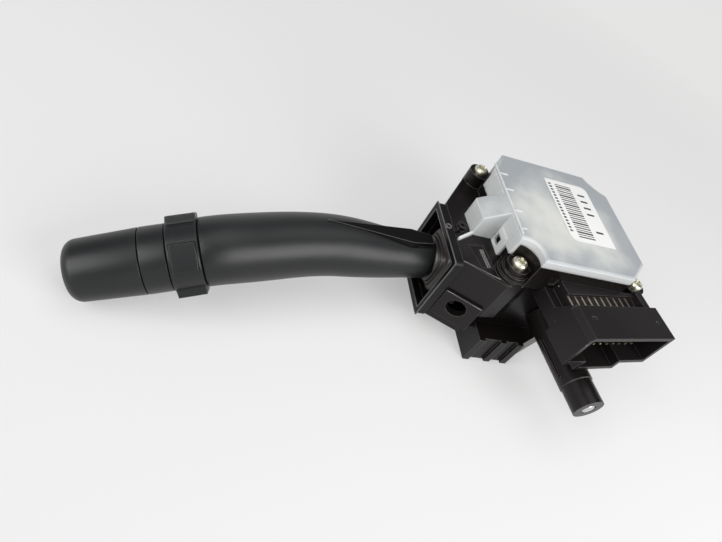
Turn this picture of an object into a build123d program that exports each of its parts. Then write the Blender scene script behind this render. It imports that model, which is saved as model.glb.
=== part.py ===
from build123d import *
import math
import os

# Combination stalk switch for a steering column: a moulded switch body with a
# curved stalk on its left and a wire-harness connector on its right.
# Origin: foot of the stalk's sweep axis on the seat plane. +X runs from the
# stalk to the column side, +Z is the normal of the rear cover. Millimetres.

# ---- driving dimensions ---------------------------------------------------
pivot_height = 25.4          # sweep and pull axes cross here, above the seat
wall = 2.0                   # moulded wall of the case halves
nose_wall = 1.5              # thinner wall round the nose
running_clearance = 0.05     # radial, shaft in hole
seat_clearance = 0.05        # between pieces that are assembled and stay put
moving_clearance = 0.3       # between pieces that move past each other

# case, seen from above
nose_x = -29.0               # back of the nose bezel
nose_front_y = -13.8
nose_back_y = 15.5
shoulder_front = (-12.5, -22.3)
shoulder_step = (-6.0, -21.6)
shoulder_back = (-17.0, 33.0)
front_corner_x = 0.5
case_right = 45.6
case_front = -17.6
case_rear = 36.0

# heights, stacked outwards from the pivot
nose_drop = 16.1             # underside of the nose below the pivot
nose_rise = 16.0             # roof of the nose above the pivot
split_drop = 3.4             # the case halves meet this far below the pivot
deck_step = 0.2              # ledge of the slider guide below the nose roof
guide_thickness = 2.4
slider_height = 4.6
slider_headroom = 1.2
board_thickness = 1.6
board_cap = 1.4              # rim of the housing above the contact board
cover_skirt = 4.0
boss_sink = 5.6              # screw bosses end this far below the rim

nose_bottom = pivot_height - nose_drop
nose_top = pivot_height + nose_rise
case_split_height = pivot_height - split_drop
deck_height = nose_top - deck_step
board_bottom = deck_height + guide_thickness + slider_height + slider_headroom
case_top = board_bottom + board_thickness + board_cap
cover_top = case_top + cover_skirt
boss_top = case_top - boss_sink

# rear cover
cover_left = -12.4
cover_right = 45.6
cover_front = -20.9
cover_rear = 36.1
cover_wall = 1.6
cover_corner = 9.4           # notches in the cover for the screws
cover_side_drop = 9.5        # the stalk side wall reaches lower
screw_notch_radius = 6.5
hood_left = -21.6            # hood that stands out over the nose
hood_front = 0.8
hood_back = 11.6
hood_sink = 2.4              # the hood reaches below the nose roof
hood_bottom = nose_top - hood_sink
hood_shoulder = nose_top + 8.8
hood_drop = 0.6              # its roof starts this far below the cover's top
hood_wall = 1.2
tab_front = -7.3             # snap tab with its square window
tab_back = 0.2
tab_sink = 1.0               # the tab's end sits in a pocket of the roof
tab_bottom = nose_top - tab_sink
tab_thickness = 1.4
tab_proud = 0.5              # outside the wall it hangs from
tab_top = nose_top + 7.5
tab_window = 3.6
tab_window_place = (-2.2, nose_top + 3.0)

# cover screws
screw_points = [(-11.2, 33.5), (-9.2, -15.7), (47.3, -14.5), (46.4, 33.5)]
screw_head_radius = 3.0
screw_head_height = 2.2
screw_shank_radius = 1.4
screw_slot = (3.4, 0.8)
screw_length = 7.0
boss_radius = 4.6

# nose bezel
bezel_thickness = 3.5
bezel_half_width = 15.85
window_half_width = 13.7
window_half_height = 13.5

# slide base that seats on the column bracket
base_left = -8.3
base_front = -26.0
base_right = 34.0
base_rear = 24.0
base_corner = (12.6, -13.7)  # start and end of the cut front right corner
base_top = nose_bottom + 4.5
base_rib_width = 2.8
base_rib_height = 1.2
undercut_front = -17.5

# block with the locating hole on the front diagonal
block_start = (-27.7, -15.6)
block_end = (-14.0, -22.8)
block_bottom = nose_bottom + 3.7
block_top = pivot_height + 1.0
block_thickness = 3.0
locating_hole_radius = 4.0
locating_hole_height = pivot_height - 4.8
locating_hole_offset = 7.2   # from the block's nose end

# guide post below the connector
post_radius = 6.3
post_height = pivot_height - 2.15
post_land_length = 10.0      # finer land at the end that the column bracket locates
post_land_step = 0.4
post_root = (18.0, -17.5)
post_end = (23.4, -58.4)
post_rib_span = (12.0, 28.0)
insert_radius = 2.75
insert_length = 16.0

# connector, turned a little towards the column
connector_yaw = 7.8
connector_corner = (5.0, -34.3)
connector_width = 41.9
connector_depth = 13.7
connector_height = 16.6
connector_top = case_top - board_cap
connector_bottom = connector_top - connector_height
connector_wall = 1.6
key_pocket = (8.5, 29.0)
key_pocket_drop = 4.2
shelf_top = connector_bottom + 6.6
pin_count = 10
pin_pitch = 3.3
pin_width = 0.7
pin_rows = (connector_top - 4.5, connector_bottom + 5.0)
pin_row_offset = -1.6        # rows sit left of the connector's middle
pin_leg_y = (-16.9, -15.1)   # where each row turns up to the contact board
pin_reach = 8.6             # how far the tips stand into the mouth
shelf_bottom = connector_bottom + 2.2
comb_span = (3.9, 37.4)      # block that guides the terminals behind the shroud
comb_gap = 2.0               # from the shroud to the block
comb_setback = 5.0           # the block's upper step
comb_top = shelf_top + 7.0
rail_top = connector_bottom + 8.6  # left side wall of the shelf
ramp_depth = 4.5             # gusset from that wall up to the shroud
right_wall_width = 3.1
catch_mark = (11.9, -38.6)
catch_size = (2.2, 1.2)
eject_mark = (43.4, -35.9)
eject_radius = 0.7
shroud_chamfer = (1.6, 2.0)  # width and height of the bevel on the left top edge

# small forms on the roof of the nose and on the walls
roof_pin = (-25.2, 3.7)
roof_pin_radius = 1.9
roof_pin_height = 1.2
roof_rib = ((-28.4, -3.6), (-22.4, 0.2))
roof_rib_width = 0.8
roof_rib_height = 1.6
roof_slot = (-27.3, 0.9)
roof_slot_size = (4.6, 1.8)
roof_panel = [(-24.2, -5.0), (-17.6, -4.0), (-16.2, -15.4), (-21.4, -15.2)]
shallow = 0.8                # depth of shallow recesses
front_pocket = (4.6, 21.2)  # across, and above the pivot
front_pocket_size = (2.6, 3.4)
boss_steps = ((1.9, 1.5), (0.9, 3.0))  # reach past the boss, height above the roof
wall_rib_width = 1.2
wall_rib_height = 0.9
rear_rib_xs = (-6.0, 6.0, 18.0, 30.0)
side_rib_ys = (-6.0, 5.0, 16.0, 27.0)
seat_pockets = [(-4.0, -14.0), (8.0, -14.0), (-1.0, 14.0), (11.0, 14.0), (23.0, 14.0), (23.0, 2.0)]
seat_pocket_size = (8.0, 9.0)

# contact board and the sliding contacts below it
guide_front = -13.6
board_posts = [(-6, 22), (36, 28), (38, -10), (-6, -9)]
board_post_radius = 1.8
slider_length = 13.0
slider_width = 11.0
rail_width = 1.6

# swing carrier, turning about the sweep axis
carrier_front = -12.0
carrier_rear = 9.0
carrier_half_width = 9.5
carrier_half_height = 9.6
carrier_slot_half_width = 5.0
carrier_slot_half_height = 7.0
trunnion_radius = 4.0
trunnion_length = 4.4
drive_pin_x = 14.0
drive_pin_radius = 1.5

# stalk
core_radius = 4.5
core_half_width = 4.6
cross_pin_radius = 2.0
core_start_x = -50.0
core_tail_x = 15.0
plunger_radius = 2.0
plunger_tip_x = 21.5
plunger_travel = 1.2
shield_radius = 25.0
shield_thickness = 1.2
shield_half_width = 12.4
shield_half_height = 10.4
collar_rim_x = -34.6
collar_end_x = -shield_radius - 2.0
collar_radius = 9.4
collar_neck_radius = 7.4
arm_root_x = -37.0
arm_root_radius = 8.2
arm_end_radius = 11.3
arm_wall = 2.2
arm_points = [(-52.0, -0.9, -0.5), (-72.0, -2.1, -0.7), (-101.0, -8.9, -2.0)]  # from the pivot
arm_stations = [(0.0, 8.2), (0.16, 9.3), (0.35, 10.8), (0.55, 11.4), (0.78, 11.7), (1.0, 11.3)]
fin_rise = 10.8              # flat top of the blade above the pivot
fin_outline = [(-77.0, -1.3), (-44.0, 2.6), (-35.5, 1.6), (-35.5, -2.8), (-44.0, -4.2)]

# head of the stalk, in its own tilted axis
seam = (-133.35, -15.5, pivot_height - 9.6)
head_axis = Vector(-0.930, -0.120, -0.345).normalized()
pad_side = Vector(0.0, -0.69, 0.724)
ring_start = -18.2
ring_length = 9.8
ring_radius = 11.7
lug_height = 1.3
lug_width = 10.5
pad_width = 9.0
pad_rise = 0.4
band_radius = 10.9
knob_radius = 10.8
knob_tip_radius = 10.0
knob_length = 22.6
knob_wall = 1.7
knob_nose_round = 4.0
spigot_radius = 6.0
spigot_end = 3.0
spindle_radius = 3.0
spindle_tail = 14.0          # inside the arm, from the seam
spindle_seat = 14.8          # inside the knob
part_gap = 0.25

os.makedirs("parts", exist_ok=True)


def save(part, label):
    """Label a finished piece and write it under its own name."""
    part.label = label
    export_step(part, f"parts/{label}.step")


# ---- shared frames and outlines -------------------------------------------
pivot = Vector(0, 0, pivot_height)
pad_direction = (pad_side - head_axis * pad_side.dot(head_axis)).normalized()
head = Plane(origin=seam, x_dir=pad_direction, z_dir=head_axis)
connector = Plane(
    origin=(connector_corner[0], connector_corner[1], 0),
    x_dir=(math.cos(math.radians(connector_yaw)), math.sin(math.radians(connector_yaw)), 0),
    z_dir=(0, 0, 1),
)
tab_x = cover_left - tab_proud + tab_thickness / 2
block_direction = (Vector(*block_end) - Vector(*block_start)).normalized()
block_normal = Vector(block_direction.Y, -block_direction.X, 0)
block_middle = (Vector(*block_start) + Vector(*block_end)) * 0.5
block_width = (Vector(*block_end) - Vector(*block_start)).length
block_plane = Plane(
    origin=(block_middle.X, block_middle.Y, 0), x_dir=block_direction, z_dir=block_normal
)


def head_at(distance):
    """Plane across the head at a distance from the knob seam."""
    return head.offset(distance)


with BuildSketch() as case_outline:
    with BuildLine():
        Polyline(
            (nose_x, nose_front_y),
            shoulder_front,
            shoulder_step,
            (front_corner_x, case_front),
            (case_right, case_front),
            (case_right, case_rear),
            (shoulder_back[0] + 3, case_rear),
            shoulder_back,
            (nose_x, nose_back_y),
            close=True,
        )
    make_face()

with BuildSketch() as lower_outline:
    with BuildLine():
        Polyline(
            (nose_x, nose_front_y),
            (shoulder_front[0] - 2.5, shoulder_front[1] + 1.3),
            (shoulder_front[0], undercut_front),
            (base_right, undercut_front),
            (base_right, base_rear),
            (shoulder_back[0] + 3, base_rear + 6),
            (nose_x, nose_back_y),
            close=True,
        )
    make_face()

with BuildSketch() as cover_outline:
    with BuildLine():
        Polyline(
            (cover_left, cover_front + cover_corner),
            (cover_left, cover_rear - cover_corner - 1.3),
            (cover_left + 7.0, cover_rear),
            (cover_right - 9.0, cover_rear),
        )
        RadiusArc(
            (cover_right - 9.0, cover_rear),
            (cover_right, cover_rear - cover_corner),
            -2.5 * screw_notch_radius,
        )
        Polyline(
            (cover_right, cover_rear - cover_corner),
            (cover_right, cover_front + cover_corner),
            (cover_right - cover_corner, cover_front),
            (cover_left + 6.8, cover_front),
        )
        RadiusArc(
            (cover_left + 6.8, cover_front),
            (cover_left, cover_front + cover_corner),
            -screw_notch_radius,
        )
    make_face()

with BuildSketch() as deck_outline:
    add(cover_outline.sketch)
    with Locations((cover_left, (cover_front + cover_rear) / 2)):
        Rectangle(2 * (cover_wall + seat_clearance), 3 * case_rear, mode=Mode.SUBTRACT)

# ---- main housing ----------------------------------------------------------
window_left = connector_corner[0] + connector_wall
window_right = connector_corner[0] + connector_width - 6.7
window_bottom = pin_rows[1] - 1.5
window_top = pin_rows[0] + 1.5

with BuildPart() as main_housing:
    with BuildSketch(Plane.XY.offset(case_split_height)):
        add(case_outline.sketch)
    extrude(amount=nose_top - case_split_height)
    with BuildSketch(Plane.XY.offset(nose_top)):
        add(deck_outline.sketch)
    extrude(amount=case_top - nose_top)
    # the mechanism space, open below where the lower case closes it
    with BuildSketch(Plane.XY.offset(case_split_height)):
        offset(lower_outline.sketch, -wall)
    extrude(amount=wall, mode=Mode.SUBTRACT)
    with BuildSketch(Plane.XY.offset(case_split_height + wall)):
        offset(case_outline.sketch, -wall)
    extrude(amount=nose_top - 2 * wall - case_split_height, mode=Mode.SUBTRACT)
    # steps round the front left screw boss
    for reach, rise in boss_steps:
        with BuildSketch(Plane.XY.offset(nose_top - wall)):
            with Locations(screw_points[1]):
                Circle(boss_radius + reach)
            add(case_outline.sketch, mode=Mode.INTERSECT)
        extrude(amount=wall + rise)
    # the space under the rear cover, open above
    with BuildSketch(Plane.XY.offset(nose_top - wall)):
        offset(deck_outline.sketch, -(cover_wall + wall))
    extrude(amount=deck_height - nose_top + wall, mode=Mode.SUBTRACT)
    with BuildSketch(Plane.XY.offset(deck_height)):
        offset(deck_outline.sketch, -cover_wall)
    extrude(amount=case_top - deck_height, mode=Mode.SUBTRACT)
    # comb window for the terminals
    with Locations(((window_left + window_right) / 2, cover_front, (window_bottom + window_top) / 2)):
        Box(window_right - window_left, 7 * wall, window_top - window_bottom, mode=Mode.SUBTRACT)
    # screw bosses down the corners
    with BuildSketch(Plane.XY.offset(nose_top - wall)):
        with Locations(*screw_points):
            Circle(boss_radius)
    extrude(amount=boss_top - nose_top + wall)
    with Locations(*[(x, y, boss_top) for x, y in screw_points]):
        Hole(screw_shank_radius + seat_clearance, depth=screw_length)
    # window for the stalk
    with Locations((nose_x, 0, pivot_height)):
        Box(6 * wall, 2 * window_half_width, 2 * window_half_height, mode=Mode.SUBTRACT)
    # opening under the cover's hood
    with Locations(((hood_left + cover_left + cover_wall) / 2, (hood_front + hood_back) / 2, nose_top)):
        Box(
            cover_left + cover_wall - hood_left + 2 * seat_clearance,
            hood_back - hood_front + 2 * seat_clearance,
            3 * wall,
            mode=Mode.SUBTRACT,
        )
    # pocket in the roof for the end of the snap tab
    with Locations((tab_x, (tab_front + tab_back) / 2, nose_top)):
        Box(
            tab_thickness + 2 * seat_clearance,
            tab_back - tab_front + 2 * seat_clearance,
            2 * (tab_sink + seat_clearance),
            mode=Mode.SUBTRACT,
        )
    # locating hole, shared with the lower case
    with BuildSketch(block_plane):
        with Locations((locating_hole_offset - block_width / 2, locating_hole_height)):
            Circle(locating_hole_radius)
    extrude(amount=-2 * block_thickness, mode=Mode.SUBTRACT)
    # forms on the roof of the nose
    rib_start = Vector(*roof_rib[0], nose_top)
    rib_end = Vector(*roof_rib[1], nose_top)
    with BuildSketch(Plane(origin=(rib_start + rib_end) * 0.5, x_dir=rib_end - rib_start, z_dir=(0, 0, 1))):
        Rectangle((rib_end - rib_start).length, roof_rib_width)
    extrude(amount=roof_rib_height)
    with BuildSketch(Plane.XY.offset(nose_top)):
        with Locations(roof_pin):
            Circle(roof_pin_radius)
            Circle(roof_pin_radius / 2, mode=Mode.SUBTRACT)
    extrude(amount=roof_pin_height)
    with BuildSketch(Plane.XY.offset(nose_top)):
        with Locations(Location((*roof_slot, 0), (0, 0, 32))):
            Rectangle(*roof_slot_size)
        with BuildLine():
            Polyline(*roof_panel, close=True)
        make_face()
    extrude(amount=-shallow, mode=Mode.SUBTRACT)
    # recess in the front wall beside the comb, and ribs on the rear and the right wall
    with Locations((front_pocket[0], cover_front, pivot_height + front_pocket[1])):
        Box(front_pocket_size[0], 2 * shallow, front_pocket_size[1], mode=Mode.SUBTRACT)
    rib_height = deck_height - case_split_height - 2 * wall
    rib_middle = (deck_height + case_split_height) / 2
    with Locations(*[(x, case_rear, rib_middle) for x in rear_rib_xs]):
        Box(wall_rib_width, 2 * wall_rib_height, rib_height)
    with Locations(*[(case_right, y, rib_middle) for y in side_rib_ys]):
        Box(2 * wall_rib_height, wall_rib_width, rib_height)
save(main_housing.part, "main_housing")

# ---- lower case with locating block and guide post --------------------------
post_start_point = Vector(post_root[0], post_root[1], post_height)
post_end_point = Vector(post_end[0], post_end[1], post_height)
post_direction = (post_end_point - post_start_point).normalized()
post_length = (post_end_point - post_start_point).length
post_plane = Plane(origin=post_start_point, x_dir=(0, 0, 1), z_dir=post_direction)
bearing_top = pivot_height - carrier_half_height - moving_clearance

with BuildPart() as lower_case:
    with BuildSketch(Plane.XY.offset(nose_bottom)):
        add(lower_outline.sketch)
    extrude(amount=case_split_height - nose_bottom)
    with BuildSketch(block_plane):
        with Locations((0, (block_bottom + block_top) / 2)):
            Rectangle(block_width, block_top - block_bottom)
    extrude(amount=-block_thickness)
    with BuildSketch(post_plane):
        Circle(post_radius)
    extrude(amount=post_length - post_land_length)
    with BuildSketch(post_plane.offset(post_length - post_land_length)):
        Circle(post_radius - post_land_step)
    extrude(amount=post_land_length)
    with BuildSketch(post_plane.offset(post_rib_span[0])):
        with Locations((0, post_radius)):
            Rectangle(wall_rib_height, 2 * wall_rib_width)
    extrude(amount=post_rib_span[1] - post_rib_span[0])
    # room for the mechanism
    with BuildSketch(Plane.XY.offset(nose_bottom + nose_wall)):
        offset(lower_outline.sketch, -wall)
    extrude(amount=case_split_height - nose_bottom, mode=Mode.SUBTRACT)
    # the main housing stands on the rim
    with BuildSketch(Plane.XY.offset(case_split_height)):
        add(case_outline.sketch)
    extrude(amount=nose_top - case_split_height, mode=Mode.SUBTRACT)
    boss_space = boss_top - case_split_height
    with Locations(*[(x, y, case_split_height + boss_space / 2) for x, y in screw_points]):
        Cylinder(boss_radius + seat_clearance, boss_space, mode=Mode.SUBTRACT)
    # window for the stalk
    with Locations((nose_x, 0, pivot_height)):
        Box(6 * wall, 2 * window_half_width, 2 * window_half_height, mode=Mode.SUBTRACT)
    # lower bearing of the swing carrier
    with BuildSketch(Plane.XY.offset(nose_bottom)):
        Circle(trunnion_radius + 3.0)
    extrude(amount=bearing_top - nose_bottom)
    with Locations((0, 0, bearing_top)):
        Hole(trunnion_radius + running_clearance, depth=trunnion_length + moving_clearance)
    # locating hole through the block
    with BuildSketch(block_plane):
        with Locations((locating_hole_offset - block_width / 2, locating_hole_height)):
            Circle(locating_hole_radius)
    extrude(amount=-2 * block_thickness, mode=Mode.SUBTRACT)
    # seat of the steel insert in the post's end
    with Locations(post_plane.offset(post_length)):
        Hole(insert_radius + seat_clearance, depth=insert_length)
save(lower_case.part, "lower_case")

with BuildPart() as post_insert:
    with BuildSketch(post_plane.offset(post_length - insert_length + seat_clearance)):
        Circle(insert_radius)
    extrude(amount=insert_length - seat_clearance)
    chamfer(post_insert.edges().sort_by(Axis.Y)[0], 0.5)
save(post_insert.part, "post_insert")

# ---- slide base --------------------------------------------------------------
with BuildPart() as slide_base:
    with BuildSketch():
        with BuildLine():
            Polyline(
                (base_left, base_front),
                (base_corner[0], base_front),
                (base_right, base_corner[1]),
                (base_right, base_rear),
                (base_left, base_rear),
                close=True,
            )
        make_face()
    extrude(amount=base_top)
    with BuildSketch(Plane.XY.offset(nose_bottom)):
        add(lower_outline.sketch)
    extrude(amount=base_top, mode=Mode.SUBTRACT)
    rib_span = base_corner[0] - base_left - base_rib_width
    for share in (0.0, 0.55, 1.0):
        rib_x = base_left + base_rib_width / 2 + share * rib_span
        with BuildSketch(Plane.XY):
            with Locations((rib_x, base_front - base_rib_height / 2)):
                Rectangle(base_rib_width, base_rib_height)
        extrude(amount=base_top)
    # lightening pockets in the seat
    with BuildSketch(Plane.XY):
        with Locations(*seat_pockets):
            RectangleRounded(*seat_pocket_size, 1.0)
    extrude(amount=nose_bottom / 2, mode=Mode.SUBTRACT)
save(slide_base.part, "slide_base")

# ---- nose bezel ----------------------------------------------------------------
with BuildPart() as nose_bezel:
    with BuildSketch(Plane.YZ.offset(nose_x)):
        with Locations((0, (nose_bottom + nose_top) / 2)):
            RectangleRounded(2 * bezel_half_width, nose_top - nose_bottom, 2.0)
        with Locations((0, pivot_height)):
            RectangleRounded(2 * window_half_width, 2 * window_half_height, 1.5, mode=Mode.SUBTRACT)
    extrude(amount=-bezel_thickness)
save(nose_bezel.part, "nose_bezel")

# ---- rear cover and its screws ----------------------------------------------------
with BuildPart() as rear_cover:
    with BuildSketch(Plane.XY.offset(cover_top - cover_skirt)):
        add(cover_outline.sketch)
    extrude(amount=cover_skirt)
    chamfer(rear_cover.faces().sort_by(Axis.Z)[-1].edges(), 0.8)
    with BuildSketch(Plane.XY.offset(cover_top - cover_skirt)):
        offset(cover_outline.sketch, -cover_wall)
    extrude(amount=cover_skirt - cover_wall, mode=Mode.SUBTRACT)
    # the wall on the stalk side reaches further down
    side_front = cover_front + cover_corner + 0.2
    side_rear = cover_rear - cover_corner - 1.5
    side_length = side_rear - side_front
    side_middle = (side_front + side_rear) / 2
    side_bottom = cover_top - cover_side_drop
    side_place = (cover_left + cover_wall / 2, side_middle, (side_bottom + cover_top - cover_wall) / 2)
    with Locations(side_place):
        Box(cover_wall, side_length, cover_side_drop - cover_wall)
    # hood over the nose
    with BuildSketch(Plane.XZ.offset(-hood_back)):
        with BuildLine():
            Polyline(
                (cover_left + cover_wall, cover_top - hood_drop),
                (cover_left, cover_top - hood_drop),
                (hood_left, hood_shoulder),
                (hood_left, hood_bottom),
                (cover_left + cover_wall, hood_bottom),
                close=True,
            )
        make_face()
    extrude(amount=hood_back - hood_front)
    with BuildSketch(Plane.XZ.offset(-hood_back + hood_wall)):
        with BuildLine():
            Polyline(
                (cover_left + cover_wall, cover_top - hood_drop - 1.8 * hood_wall),
                (hood_left + hood_wall, hood_shoulder - 0.5 * hood_wall),
                (hood_left + hood_wall, hood_bottom),
                (cover_left + cover_wall, hood_bottom),
                close=True,
            )
        make_face()
    extrude(amount=hood_back - hood_front - 2 * hood_wall, mode=Mode.SUBTRACT)
    # snap tab
    with Locations((tab_x, (tab_front + tab_back) / 2, (tab_bottom + tab_top) / 2)):
        Box(tab_thickness, tab_back - tab_front, tab_top - tab_bottom)
    with Locations((cover_left, *tab_window_place)):
        Box(6 * tab_thickness, tab_window, tab_window, mode=Mode.SUBTRACT)
save(rear_cover.part, "rear_cover")

with BuildPart() as cover_screws:
    with BuildSketch(Plane.XY.offset(boss_top)):
        with Locations(*screw_points):
            Circle(screw_head_radius)
    extrude(amount=screw_head_height)
    fillet(cover_screws.faces().filter_by(Axis.Z).group_by(Axis.Z)[-1].edges(), 0.9)
    with BuildSketch(Plane.XY.offset(boss_top)):
        with Locations(*screw_points):
            Circle(screw_shank_radius)
    extrude(amount=-(screw_length - 0.5))
    for angle in (0, 90):
        with BuildSketch(Plane.XY.offset(boss_top + screw_head_height)):
            with Locations(*screw_points):
                Rectangle(*screw_slot, rotation=angle)
        extrude(amount=-1.3, mode=Mode.SUBTRACT)
save(cover_screws.part, "cover_screws")

# ---- connector housing ---------------------------------------------------------------
pin_middle = connector_width / 2 + pin_row_offset
pin_x = [pin_middle + (i - (pin_count - 1) / 2) * pin_pitch for i in range(pin_count)]
shelf_depth = 18.0
passage_length = 3.2 * shelf_depth

with BuildPart() as connector_housing:
    with BuildSketch(connector.offset(connector_bottom)):
        with Locations((connector_width / 2, -connector_depth / 2)):
            Rectangle(connector_width, connector_depth)
    extrude(amount=connector_top - connector_bottom)
    with BuildSketch(connector.offset(connector_bottom - key_pocket_drop)):
        with Locations(((key_pocket[0] + key_pocket[1]) / 2, -connector_depth / 2)):
            Rectangle(key_pocket[1] - key_pocket[0], connector_depth)
    extrude(amount=key_pocket_drop)
    # mouth with its key pocket
    with BuildSketch(connector.offset(connector_bottom + connector_wall)):
        with Locations((connector_width / 2, -connector_depth / 2 - connector_wall)):
            Rectangle(connector_width - 2 * connector_wall, connector_depth)
    extrude(amount=connector_top - connector_bottom - 2 * connector_wall, mode=Mode.SUBTRACT)
    with BuildSketch(connector.offset(connector_bottom - key_pocket_drop + connector_wall)):
        with Locations(((key_pocket[0] + key_pocket[1]) / 2, -connector_depth / 2 - connector_wall)):
            Rectangle(key_pocket[1] - key_pocket[0] - 2 * connector_wall, connector_depth)
    extrude(amount=key_pocket_drop + connector_wall, mode=Mode.SUBTRACT)
    # shelf and side walls that join it to the main housing
    with BuildSketch(connector.offset(shelf_bottom)):
        with Locations((connector_width / 2, shelf_depth / 2)):
            Rectangle(connector_width, shelf_depth)
    extrude(amount=shelf_top - shelf_bottom)
    with BuildSketch(connector.offset(shelf_bottom)):
        with Locations((comb_span[0] / 2, shelf_depth / 2)):
            Rectangle(comb_span[0], shelf_depth)
    extrude(amount=rail_top - shelf_bottom)
    with BuildSketch(connector.offset(shelf_bottom)):
        with Locations((comb_span[1] + right_wall_width / 2, shelf_depth / 2)):
            Rectangle(right_wall_width, shelf_depth)
    extrude(amount=board_bottom + 0.6 - shelf_bottom)
    with BuildSketch(Plane(origin=connector.origin, x_dir=connector.y_dir, z_dir=connector.x_dir)):
        with BuildLine():
            Polyline(
                (-connector_wall, rail_top),
                (-connector_wall, connector_top),
                (0.0, connector_top),
                (ramp_depth, rail_top),
                close=True,
            )
        make_face()
    extrude(amount=comb_span[0])
    # comb block that guides the terminals, in two steps
    for gap, top in ((comb_gap, pin_rows[0] + pin_width / 2), (comb_gap + comb_setback, comb_top)):
        with BuildSketch(connector.offset(shelf_top)):
            with Locations(((comb_span[0] + comb_span[1]) / 2, gap + shelf_depth / 2)):
                Rectangle(comb_span[1] - comb_span[0], shelf_depth)
        extrude(amount=top - shelf_top)
    # marks in the roof of the shroud
    with Locations((*catch_mark, connector_top)):
        Box(*catch_size, shallow, mode=Mode.SUBTRACT)
    with Locations((*eject_mark, connector_top)):
        Cylinder(eject_radius, shallow, mode=Mode.SUBTRACT)
    # bevel on the left top edge of the shroud
    with BuildSketch(Plane(origin=connector.origin, x_dir=connector.x_dir, z_dir=-connector.y_dir)):
        with BuildLine():
            Polyline(
                (-1.0, connector_top + 1.0),
                (-1.0, connector_top - shroud_chamfer[1]),
                (0.0, connector_top - shroud_chamfer[1]),
                (shroud_chamfer[0], connector_top),
                (shroud_chamfer[0], connector_top + 1.0),
                close=True,
            )
        make_face()
    extrude(amount=connector_depth, mode=Mode.SUBTRACT)
    # cut flush to the front of the main housing
    trim = connector_width / 2
    with Locations((connector_corner[0] + connector_width / 2, case_front + trim / 2, nose_top)):
        Box(2 * connector_width, trim, 2 * trim, mode=Mode.SUBTRACT)
    with Locations((connector_corner[0] + connector_width / 2, cover_front + trim / 2, nose_top + trim / 2)):
        Box(2 * connector_width, trim, trim, mode=Mode.SUBTRACT)
    with Locations(*[(x, y, nose_top) for x, y in screw_points]):
        Cylinder(boss_radius + seat_clearance, trim, mode=Mode.SUBTRACT)
    # passages for the terminals
    with BuildSketch(connector.offset(pin_rows[1])):
        with Locations(*[(x, 0) for x in pin_x]):
            Rectangle(pin_width + 2 * seat_clearance, passage_length)
    extrude(amount=pin_width / 2 + seat_clearance, both=True, mode=Mode.SUBTRACT)
    with BuildSketch(connector.offset(pin_rows[0])):
        with Locations(*[(x, 0) for x in pin_x]):
            Rectangle(pin_width + 2 * seat_clearance, passage_length)
    extrude(amount=pin_width / 2 + seat_clearance, both=True, mode=Mode.SUBTRACT)
save(connector_housing.part, "connector_housing")


def terminal_row(row_height, leg_y):
    """One row of L-shaped terminals from the contact board into the mouth."""
    with BuildPart() as row:
        for x in pin_x:
            corner = connector.from_local_coords(Vector(x, 0, 0))
            tip = connector.from_local_coords(Vector(x, -pin_reach, 0))
            along = (corner - tip).normalized()
            run = (leg_y - tip.Y) / along.Y
            with BuildSketch(Plane(origin=(tip.X, tip.Y, row_height), x_dir=(0, 0, 1), z_dir=along)):
                Rectangle(pin_width, pin_width)
            extrude(amount=run)
            with BuildSketch(Plane(origin=(tip.X + along.X * run, leg_y, row_height), x_dir=along)):
                Rectangle(pin_width, pin_width)
            extrude(amount=board_bottom - row_height)
    return row.part


save(terminal_row(pin_rows[0], pin_leg_y[0]), "upper_terminals")
save(terminal_row(pin_rows[1], pin_leg_y[1]), "lower_terminals")

# ---- contact board and slider guide ------------------------------------------------------
with BuildPart() as contact_board:
    with BuildSketch(Plane.XY.offset(board_bottom)):
        offset(deck_outline.sketch, -(cover_wall + seat_clearance))
        with Locations(*screw_points):
            Circle(boss_radius + seat_clearance, mode=Mode.SUBTRACT)
    extrude(amount=board_thickness)
save(contact_board.part, "contact_board")

slider_y = 0.0
slider_bottom = deck_height + guide_thickness + seat_clearance
with BuildPart() as slider_guide:
    with BuildSketch(Plane.XY.offset(deck_height)):
        offset(deck_outline.sketch, -(cover_wall + seat_clearance))
        with Locations((cover_left, cover_front), (cover_right, cover_front)):
            Rectangle(4 * cover_right, 2 * (guide_front - cover_front), mode=Mode.SUBTRACT)
        with Locations(*screw_points):
            Circle(boss_radius + seat_clearance, mode=Mode.SUBTRACT)
        with Locations((drive_pin_x, slider_y)):
            Rectangle(6.0, 11.0, mode=Mode.SUBTRACT)
    extrude(amount=guide_thickness)
    # rails each side of the sliding contact
    with BuildSketch(Plane.XY.offset(deck_height + guide_thickness)):
        for side in (-1, 1):
            with Locations((drive_pin_x + side * (slider_width / 2 + rail_width / 2 + running_clearance), 0)):
                Rectangle(rail_width, slider_length + 6)
    extrude(amount=slider_height - 1.4)
    # posts that carry the contact board
    with BuildSketch(Plane.XY.offset(deck_height + guide_thickness)):
        with Locations(*board_posts):
            Circle(board_post_radius)
    extrude(amount=board_bottom - deck_height - guide_thickness)
save(slider_guide.part, "slider_guide")

with BuildPart() as sweep_slider:
    with BuildSketch(Plane.XY.offset(slider_bottom)):
        with Locations((drive_pin_x, slider_y)):
            Rectangle(slider_width, slider_length)
        with Locations((drive_pin_x, slider_y)):
            SlotOverall(6.0, 2 * (drive_pin_radius + running_clearance), mode=Mode.SUBTRACT)
    extrude(amount=slider_height)
save(sweep_slider.part, "sweep_slider")

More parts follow.
